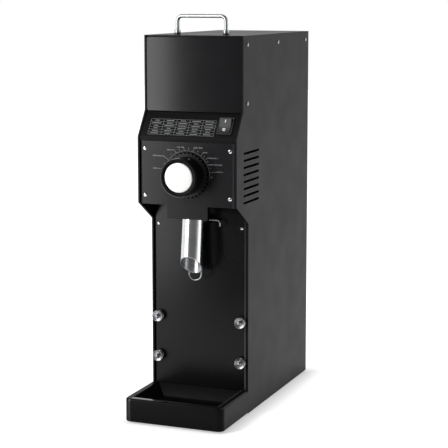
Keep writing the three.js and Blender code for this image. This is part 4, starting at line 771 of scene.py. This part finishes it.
outer, inner = (arc((dial_x, dial_z), arc_radius + away, arc_start, arc_sweep, arc_steps)
                for away in (arc_line / 2, -arc_line / 2))
scale_print = [prism([outer + inner[::-1]], plate.front - ink_proud, plate.front + ink_proud)]
letters = []
for x0, x1, z in labels:
    near = x1 if x1 < 0 else x0
    scale_print.append(leader((near, z), on_arc(arc_radius, math.degrees(math.atan2(z - dial_z, near)))))
    letters += [(x0 + letter_pitch * (k + 0.5), plate.front, z) for k in range(int((x1 - x0) / letter_pitch))
                if k % word_gap != word_gap - 1]
scale_print.append(grown(letter_marks, letters, {
    "Width": 1 * mm, "Lowest": 1 * mm, "Highest": 2 * mm, "Ink": 0.12 * mm, "Seed": 11, "Material": ink}))
for number, turn in enumerate(number_turns):
    scale_print.append(digits(str(number), *on_arc(arc_radius + number_offset, turn)))
piece("dial_scale", scale_print, ink, slot="white_plastic")

# Lower panel: the same folded sheet, from the tray up to the head, with two small screws and four
# turned studs. Each stud is nickel plated, with a dished flange round a bright domed boss.
lower, column_face = box_of("lower_front_panel"), column_front + reveal
folded_panel("lower_panel_look", pan(inner_half, column_face, lower.bottom, lower.top), front_black,
             "lower_front_panel")
front_screws("lower_panel_screws", ["lower_panel_screw_left", "lower_panel_screw_right"], column_face, 2.8)
stud_steel = made_of("turned_nickel_plate", "#77787a", "#8c8d8f", (0.26, 0.34), 4, 0.5, 0.004, metal=1)
boss = [(0, -14.5), (1.5, -14.3), (2.8, -13.7), (3.7, -12.8), (4.2, -11.6), (4.3, -10.4), (4.3, -9.3)]
dish = [(5.4, -9.1), (7.6, -9.7), (8.9, -10.5), (9.4, -10.5), (9.7, -10.1), (9.7, -8.2), (9.3, -7.6)]
neck = [(8.6, -7.5), (5.2, -7.3), (5, -7), (5, -2.9), (5.3, -2.6), (8.1, -2.5), (8.5, -2.1), (8.5, 0), (0, 0)]
for corner in corners:
    centre = middle_of(f"panel_stud_{corner}")
    shape = turned([(r, column_face + y) for r, y in boss + dish + neck], 48, (centre.x, centre.z))
    piece(f"stud_look_{corner}", [shape], stud_steel, replaces=[f"panel_stud_{corner}"],
          slot="bright_steel", smooth=50)

# Hopper front: a thick panel in gloss black, polished enough to mirror the soft box as a pale band
# with a soft edge. Its corners are rounded, and a narrow dark gap divides it from the fascia.
gloss_black = made_of("gloss_black_panel", "#111113", "#141416", (0.13, 0.16), 80, 4, 0.002, shine=0.23)
hopper_outline = rounded_box(hopper.right, hopper.bottom, hopper.top, 4, 8)
piece("hopper_front_look", [prism([hopper_outline], hopper.front, hopper.back)], gloss_black,
      replaces=["hopper_front_panel"], slot="gloss_black", edge=0.6)

# Dial: a notched ring, a barrel with two grip grooves and a polished rim, and a white cap pressed
# into its face. Ring and barrel are moulded in hard black plastic and satin. The notches, from one
# node tree, are painted near black as shade, and the rim's left part carries a painted highlight.
tree, given = node_group("notched_ring", {
    "Notches": 40, "Radius": 0.0375, "Bore": 0.014, "Depth": 0.0017, "Thickness": 0.0037})
per_notch, notch_floor_ends, notch_flank_ends = 10, 2.2, 3.8
corner_count = calculate(tree, "MULTIPLY", given["Notches"], per_notch)
rim = add(tree, "GeometryNodeCurvePrimitiveCircle", {"Resolution": corner_count, "Radius": given["Radius"]})
place_in = calculate(tree, "MODULO", add(tree, "GeometryNodeInputIndex"), per_notch)
away = calculate(tree, "ABSOLUTE", calculate(tree, "SUBTRACT", place_in, (per_notch - 1) / 2))
inside_notch = add(tree, "ShaderNodeMapRange", {"Value": away, "From Min": notch_floor_ends, "To Min": 1,
                                                "From Max": notch_flank_ends, "To Max": 0})
dip = calculate(tree, "MULTIPLY", inside_notch, given["Depth"])
shrink = calculate(tree, "SUBTRACT", 1, calculate(tree, "DIVIDE", dip, given["Radius"]))
spot = add(tree, "GeometryNodeInputPosition")
pulled = add(tree, "ShaderNodeVectorMath", {0: spot, "Scale": shrink}, operation="SCALE")
notched = add(tree, "GeometryNodeSetPosition", {"Geometry": rim, "Position": pulled})
bore = add(tree, "GeometryNodeCurvePrimitiveCircle", {"Resolution": 48, "Radius": given["Bore"]})
filled = add(tree, "GeometryNodeFillCurve", {"Curve": join(tree, notched, bore)})
grown_up = add(tree, "GeometryNodeExtrudeMesh", {"Mesh": filled, "Offset Scale": given["Thickness"],
                                                 "Individual": False})
whole = join(tree, grown_up, add(tree, "GeometryNodeFlipFaces", {"Mesh": filled}))
welded = add(tree, "GeometryNodeMergeByDistance", {"Geometry": whole, "Distance": 0.000001})
close_group(tree, given, welded)

ring_black = made_of("satin_black_ring", "#1d1d1f", "#232325", (0.3, 0.36), 20, 0.6, 0.008, shine=0.17)
# Near black for the notches' flanks: painted shade.
notch_painted_shade = made_of("painted_shade_in_notches", "#040405", "#060607", (0.5, 0.6), 20, 0.6, 0.008, shine=0.03)
knob_black = made_of("satin_black_knob", "#080809", "#0b0b0c", (0.3, 0.36), 20, 0.6, 0.006, shine=0.05)
# Lighter and glossier than the knob: a painted highlight for the left part of the rim.
knob_rim_painted_highlight = made_of("polished_knob_rim_with_painted_highlight", "#101011", "#141415", (0.12, 0.16), 20, 0.6, 0.002, shine=0.95)
white_cap = made_of("white_cap_plastic", "#e9e9e7", "#efefed", (0.2, 0.28), 20, 1, 0.004)
ring_box, knob_box, cap_front = box_of("dial_ring"), box_of("dial_knob"), box_of("knob_cap").front


def near_rim(centre):
    return math.hypot(centre.x, centre.z - dial_z) > 30


ring_shape = grown(tree, [(0, 0, 0)], {
    "Notches": 33, "Radius": 39.8 * mm, "Bore": 13.6 * mm, "Depth": 2.8 * mm,
    "Thickness": (ring_box.back - ring_box.front) * mm, "Material": ring_black})
to_plate = Matrix.Translation((dial_x, ring_box.back, dial_z)) @ upright
ring = piece("dial_ring_look", [moved(ring_shape, to_plate)], ring_black, "dial", ["dial_ring"],
             "black_plastic", edge=0.35, smooth=32)
# The notches' flanks: painted shade.
finish_where(ring, notch_painted_shade, lambda normal, centre: abs(normal.y) < 0.5 and near_rim(centre))
barrel = [(0, 0), (31.4, 0), (32, 0.6), (32, 2.3), (31.3, 2.9), (31.3, 4.3), (32.1, 4.9), (32.3, 8.3),
          (31.6, 8.9), (31.6, 10.3), (32.4, 10.9), (33.4, 29.9), (33.4, 30.7), (33, 31.5), (32.3, 31.9),
          (31.4, 32), (26, 32), (25.6, 31.7), (25.5, 31.1), (25.5, 29.5), (0, 29.5)]
knob_shape = turned([(r, knob_box.back - forward) for r, forward in barrel], 96, (dial_x, dial_z))
knob = piece("dial_knob_look", [knob_shape], knob_black, "dial", ["dial_knob"], "black_plastic", smooth=40)
# Only the rim's left part, towards the soft box, gets the painted highlight.
finish_where(knob, knob_rim_painted_highlight, lambda normal, centre: 0.06 < centre.y - knob_box.front < 2
             and near_rim(centre) and centre.x < 12)
pointer_turn, pointer_half, pointer_start, pointer_end = 22, 0.5, -176, -169.5
pointer = block(-pointer_half, pointer_half, pointer_start, pointer_end, 32.2, 32.9)
to_index = Matrix.Translation((dial_x, 0, dial_z)) @ Matrix.Rotation(math.radians(pointer_turn), 4, "Y")
piece("dial_pointer", [moved(pointer, to_index)], bright_ink, "dial", slot="white_plastic")
cap = [(0, 0), (12, 0.02), (20, 0.15), (23.6, 0.35), (24.6, 0.7), (25.1, 1.4), (25.2, 2.5), (25.2, 3.1),
       (0, 3.1)]
piece("knob_cap_look", [turned([(r, cap_front + back) for r, back in cap], 96, (dial_x, dial_z))], white_cap,
      "dial", ["knob_cap"], "white_plastic", smooth=50)


# Spout: a drawn stainless tube with a brushed skin, leaning forward and sawn off at 45 degrees. A
# flange clamps it under the head. The brush marks run round the tube, so lamps stretch along it,
# while the bore is duller and the sawn edge duller still.
def leaning_tube(outer, inner, start, lean, mouth, mouth_slope, sides=72, lip=0.35):
    """A tube whose axis leans forward and whose lower end is cut by a slanted plane."""
    axis = Vector((0, -math.sin(lean), -math.cos(lean)))
    across, deep = Vector((1, 0, 0)), Vector((0, math.cos(lean), -math.sin(lean)))
    normal = Vector((0, -math.sin(mouth_slope), -math.cos(mouth_slope)))
    below_top = ((outer, 3 * lip), (outer, lip), (outer - lip, 0),
                 (inner + lip, 0), (inner, lip), (inner, 3 * lip))
    rows = []
    for k in range(sides + 1):
        turn = math.tau * k / sides
        out = across * math.cos(turn) + deep * math.sin(turn)
        lines = [(start + out * radius, back) for radius, back in below_top]
        rows.append([line + axis * ((mouth - line).dot(normal) / axis.dot(normal) - back)
                     for line, back in lines])
        for line in (start + out * inner, start + out * outer):
            rows[-1].append(line + axis * ((start.z - line.z) / axis.z))
    return skin(rows, ends=False)


def from_axis(centre):
    """The way across from the spout's axis to a place."""
    axis_y = spout_start.y - (spout_start.z - centre.z) * math.tan(lean)
    return Vector((centre.x, centre.y - axis_y, 0))


brushed = made_of("polished_stainless_tube", "#d2d3d4", "#dbdcdd", (0.19, 0.24), 30, 0.6, 0.0015, metal=1,
                  stretch=(14, 14, 1))
tube_bore = made_of("drawn_tube_bore", "#97999b", "#aeb0b2", (0.26, 0.34), 10, 0.5, 0.004, metal=1,
                    stretch=(6, 6, 1))
sawn_edge = made_of("sawn_stainless_edge", "#6c6e70", "#7c7e80", (0.4, 0.5), 4, 0.5, 0.01, metal=1)
tube_outer, tube_inner, lean, cut = 19, 17.5, math.radians(6.5), math.radians(45)
spout_start, spout_drop, cut_top = Vector((0, -123.2, box_of("spout_tube").top)), 105, 330
mouth = spout_start - Vector((0, spout_drop * math.tan(lean), spout_drop))
tube = leaning_tube(tube_outer, tube_inner, spout_start, lean, mouth, cut)
flange = [(17.6, 0), (24.5, 0), (24.5, 2.4), (23.9, 3), (17.6, 3), (17.6, 0)]
flange_shape = turned([(r, spout_start.z - down) for r, down in flange], 72, (0, spout_start.y), "Z")
spout = piece("spout_look", [tube, flange_shape], brushed, replaces=["spout_tube"], slot="bright_steel",
              smooth=40)
finish_where(spout, tube_bore, lambda normal, centre: normal.dot(from_axis(centre)) < -10)
finish_where(spout, sawn_edge, lambda normal, centre: normal.z < -0.2 and centre.z < cut_top)


# Bag clamp: one length of bright 3 mm wire, bent cold into a U behind the spout, with a lever end
# at the right. It swings in the two ears of a bracket that is folded from coated sheet.
def rod(path, radius, sides=20, domed=True):
    """A round rod along a path, with softly domed ends."""
    sizes = [radius] * len(path)
    if domed:
        tip, setback = radius * 0.72, radius * 0.28
        after_first = path[0] + (path[1] - path[0]).normalized() * setback
        before_last = path[-1] + (path[-2] - path[-1]).normalized() * setback
        path = [path[0], after_first, *path[1:-1], before_last, path[-1]]
        sizes = [tip, radius, *sizes[1:-1], radius, tip]
    rows, side = [], (path[1] - path[0]).orthogonal().normalized()
    for i, (point, size) in enumerate(zip(path, sizes)):
        run = heading(path, i)
        side = (side - run * side.dot(run)).normalized()
        rows.append([point + side * u + run.cross(side) * v for u, v in circle(size, sides)])
    return skin(rows)


wire_steel = made_of("drawn_steel_wire", "#77787a", "#8e8f91", (0.2, 0.3), 10, 0.4, 0.006, metal=1,
                     stretch=(1, 1, 12))
holder = box_of("clamp_bracket")
wire_radius, wire_bend, pivot_y, pivot_z = 1.5, 5, -109, middle_of("clamp_bracket").z
left_end, lever_x, lever_foot, loop_top = -26, 42.8, 333.2, 12
loop_y, loop_radius, loop_bottom = pivot_y - 8, 11.1, pivot_z - 105.8
loop_line = arc((0, loop_bottom + loop_radius), loop_radius, 180, 180, 24)
loop = [Vector((x, loop_y, z)) for x, z in loop_line]
left_bend = eased_path([(left_end, pivot_y, pivot_z), (-loop_top, pivot_y, pivot_z), loop[0]], wire_bend)
right_bend = eased_path([loop[-1], (loop_top, pivot_y, pivot_z), (lever_x, pivot_y, pivot_z),
                         (lever_x, pivot_y, lever_foot)], wire_bend)
piece("bag_clamp_look", [rod(left_bend + loop[1:-1] + right_bend, wire_radius)], wire_steel, "bag_clamp",
      ["bag_clamp_wire"], "bright_steel", smooth=50)
ear_radius, ear_back, ear_sheet, plate_sheet = (holder.top - holder.bottom) / 2, -96.8, 2.2, 2
ear = [(ear_back, holder.bottom), *arc((pivot_y, pivot_z), ear_radius, -90, -180, 16),
       (ear_back, holder.top)]
hole = circle(1.8, 24, (pivot_y, pivot_z))
bracket = [prism([ear, hole], low, low + ear_sheet, "YZ") for low in (holder.left, holder.right - ear_sheet)]
bracket.append(block(holder.left + 0.2, holder.right - 0.2, ear_back - plate_sheet, ear_back,
                     holder.bottom + 0.2, holder.top - 0.2))
piece("clamp_bracket_look", bracket, satin_black, replaces=["clamp_bracket"], slot="black_steel", edge=0.3)


# Tray: a deep moulded pan with a wide flat rim, rounded front corners and inner walls that lean
# outward. Its outside is satin black, and its rim and inside are smoother, so only they mirror the
# room. A sloped strip closes its back against the lower panel. It is hollow underneath.
def tray_path(inset, corner=12, steps=10):
    """The tray's outline from its left back end round the front, moved inward."""
    half, front, back = tray_box.right - inset, tray_box.front + inset, column_front - 0.4
    radius = max(corner - inset, 2.5)
    left = arc((radius - half, front + radius), radius, 180, 90, steps)
    right = arc((half - radius, front + radius), radius, 270, 90, steps)
    return [(-half, back), *left, *right, (half, back)]


tray_box, floor_top, rim_foot, tray_middle = box_of("front_tray"), 22, 41, -160
skirt = [(7, 18), (7, 3.2), (6.8, 3), (2.2, 3), (1.2, 3.3), (0.4, 4.1), (0, 5.4)]
rim_line = [(0, 40.6), (0.3, 42), (1, 43.2), (2.1, 43.9), (3.2, 44), (11.4, 44), (12.4, 43.7), (13, 43)]
inside = [(13.7, 42), (28.6, floor_top + 2.6), (29.8, floor_top + 1.3), (31.4, floor_top + 0.4),
          (34, floor_top)]
rows = [[(x, y, z) for x, y in tray_path(inset)] for inset, z in skirt + rim_line + inside]
tray_verts, tray_faces = skin(rows, around=False)
left_end, right_end = (range(i, len(tray_verts), len(rows[0])) for i in (0, len(rows[0]) - 1))
tray_faces.append((*left_end, *reversed(right_end)))

tray_skin = made_of("satin_tray_skin", "#0b0b0c", "#0d0d0e", (0.36, 0.42), 50, 0.9, 0.008, shine=0.05)
tray_bend = made_of("gloss_tray_corners", "#0a0a0b", "#0d0d0e", (0.14, 0.2), 50, 0.9, 0.004, shine=0.3)
tray_gloss = made_of("gloss_black_tray", "#0a0a0b", "#0d0d0e", (0.14, 0.2), 50, 1.2, 0.004, shine=0.5)
# A pale grey painted highlight for the inner edge of the rim along the right wall.
tray_rim_painted_highlight = made_of("tray_edge_painted_highlight", "#626264", "#6c6c6e", (0.2, 0.3), 30, 0.9, 0.004)
# The back slope's finish, also laid on the left rim as painted shade, darker and duller than the rest of the
# rim.
slope_finish_and_rim_shade = made_of("satin_black_slope_finish_and_painted_rim_shade", "#070708", "#0a0a0b", (0.28, 0.36), 50, 0.9, 0.008,
                     shine=0.055)
# A darker black for the tray's floor: painted shade at the bottom of the pan.
floor_painted_shade = made_of("satin_black_painted_floor_shade", "#070708", "#090909", (0.28, 0.36), 50, 0.9, 0.008, shine=0.08)


def in_tray(normal, centre):
    """True for the rim and the inside, which don't face away from the tray's middle."""
    faces_out = Vector((centre.x, centre.y - tray_middle)).dot(normal.xy) > 4
    return not faces_out and centre.z > 20 and centre.y < -99


def on_rim(normal, centre):
    return in_tray(normal, centre) and centre.z > rim_foot


def on_corner(normal, centre):
    left_bend, right_top = -0.26 < normal.x < -0.03, 0.2 < normal.x < 0.8 and normal.z > 0.25
    return not in_tray(normal, centre) and (left_bend or right_top)


tray = piece("front_tray_look", [(tray_verts, tray_faces)], tray_skin, replaces=["front_tray"],
             slot="gloss_black", smooth=34)
for material, test in (
    (tray_bend, on_corner),
    (satin_black, lambda normal, centre: not in_tray(normal, centre) and abs(normal.x) > 0.93),
    (tray_gloss, in_tray),
    # The rim's inner edge on the right wall: a painted highlight.
    (tray_rim_painted_highlight, lambda normal, centre: on_rim(normal, centre) and normal.x < -0.1),
    # The left rim: painted shade, darker and duller than the rim on the right.
    (slope_finish_and_rim_shade, lambda normal, centre: on_rim(normal, centre) and centre.x < -77),
    # The floor: painted shade, darker than the walls round it.
    (floor_painted_shade, lambda normal, centre: in_tray(normal, centre) and centre.z < floor_top + 0.1
     and normal.z > 0.9),
):
    finish_where(tray, material, test)
back_slope = [(-98.6, 21.5), (-98.6, 43), (-99.2, 43.6), (-100, 43.6), (-101, 42.8), (-116.4, 24.8),
              (-117.8, 23.3), (-119.6, 22.4), (-122.5, 21.9), (-122.5, 21.5)]
piece("tray_back_look", [prism([back_slope], -79, 79, "YZ")], slope_finish_and_rim_shade, slot="gloss_black", smooth=34)


# Top: a fixed cover at the back and a hinged lid in front, both 3 mm coated sheet. The hinge's
# knuckles are rolled round a steel pin, in turn from the cover and the lid, and lie flush.
def knuckles(odd):
    half, count, gap, shapes = box_of("lid_hinge_pin").right, 5, 0.15, []
    bore, radius = 1.3, 2.5
    near, far = (-4.3, -2.1) if odd else (2.1, 4.3)
    for i in range(1 if odd else 0, count, 2):
        x0 = -half + 2 * half / count * i + gap
        x1 = x0 + 2 * half / count - 2 * gap
        sleeve = [(bore, x0), (radius, x0), (radius, x1), (bore, x1), (bore, x0)]
        shapes.append(turned(sleeve, 32, (hinge.y, hinge.z), "X"))
        shapes.append(block(x0, x1, hinge.y + near, hinge.y + far, hinge.z - bore, hinge.z + bore))
    return shapes


hinge, hinge_room, top_sheet = middle_of("lid_hinge_pin"), 3, 3
cover = rounded_box(inner_half, hinge.y + hinge_room, cabinet.back, 1)
lid = rounded_box(inner_half, hopper.front, hinge.y - hinge_room, 1)
top_low, top_high = cabinet.top - top_sheet, cabinet.top
piece("top_cover_look", [prism([cover], top_low, top_high, "XY"), *knuckles(False)], satin_black,
      replaces=["top_cover"], slot="black_steel", edge=0.4)
piece("hopper_lid_look", [prism([lid], top_low, top_high, "XY"), *knuckles(True)], satin_black, "lid",
      ["hopper_lid"], "black_steel", edge=0.4)

# Lid handle: stainless rod bent to a D and pressed into two turned collars. Its satin polish keeps
# it a soft grey against the white room.
satin_steel = made_of("satin_stainless_rod", "#a2a4a6", "#b4b6b8", (0.32, 0.4), 20, 0.5, 0.006, metal=1)
foot_z, handle_y = box_of("lid_handle").bottom, middle_of("lid_handle").y
leg_x, grip_z, rod_radius = 45, 692, 3.2
collar = [(0, 0), (5.3, 0), (5.6, 0.4), (5.6, 6.9), (5.2, 7.7), (4.2, 8), (0, 8)]
grip = eased_path([(-leg_x, handle_y, foot_z), (-leg_x, handle_y, grip_z), (leg_x, handle_y, grip_z),
                   (leg_x, handle_y, foot_z)], 10, 14)
handle = [rod(grip, rod_radius, 28, domed=False)]
handle += [turned([(r, foot_z + up) for r, up in collar], 40, (x, handle_y), "Z") for x in (-leg_x, leg_x)]
piece("lid_handle_look", handle, satin_steel, "lid", ["lid_handle"], "bright_steel", smooth=45)
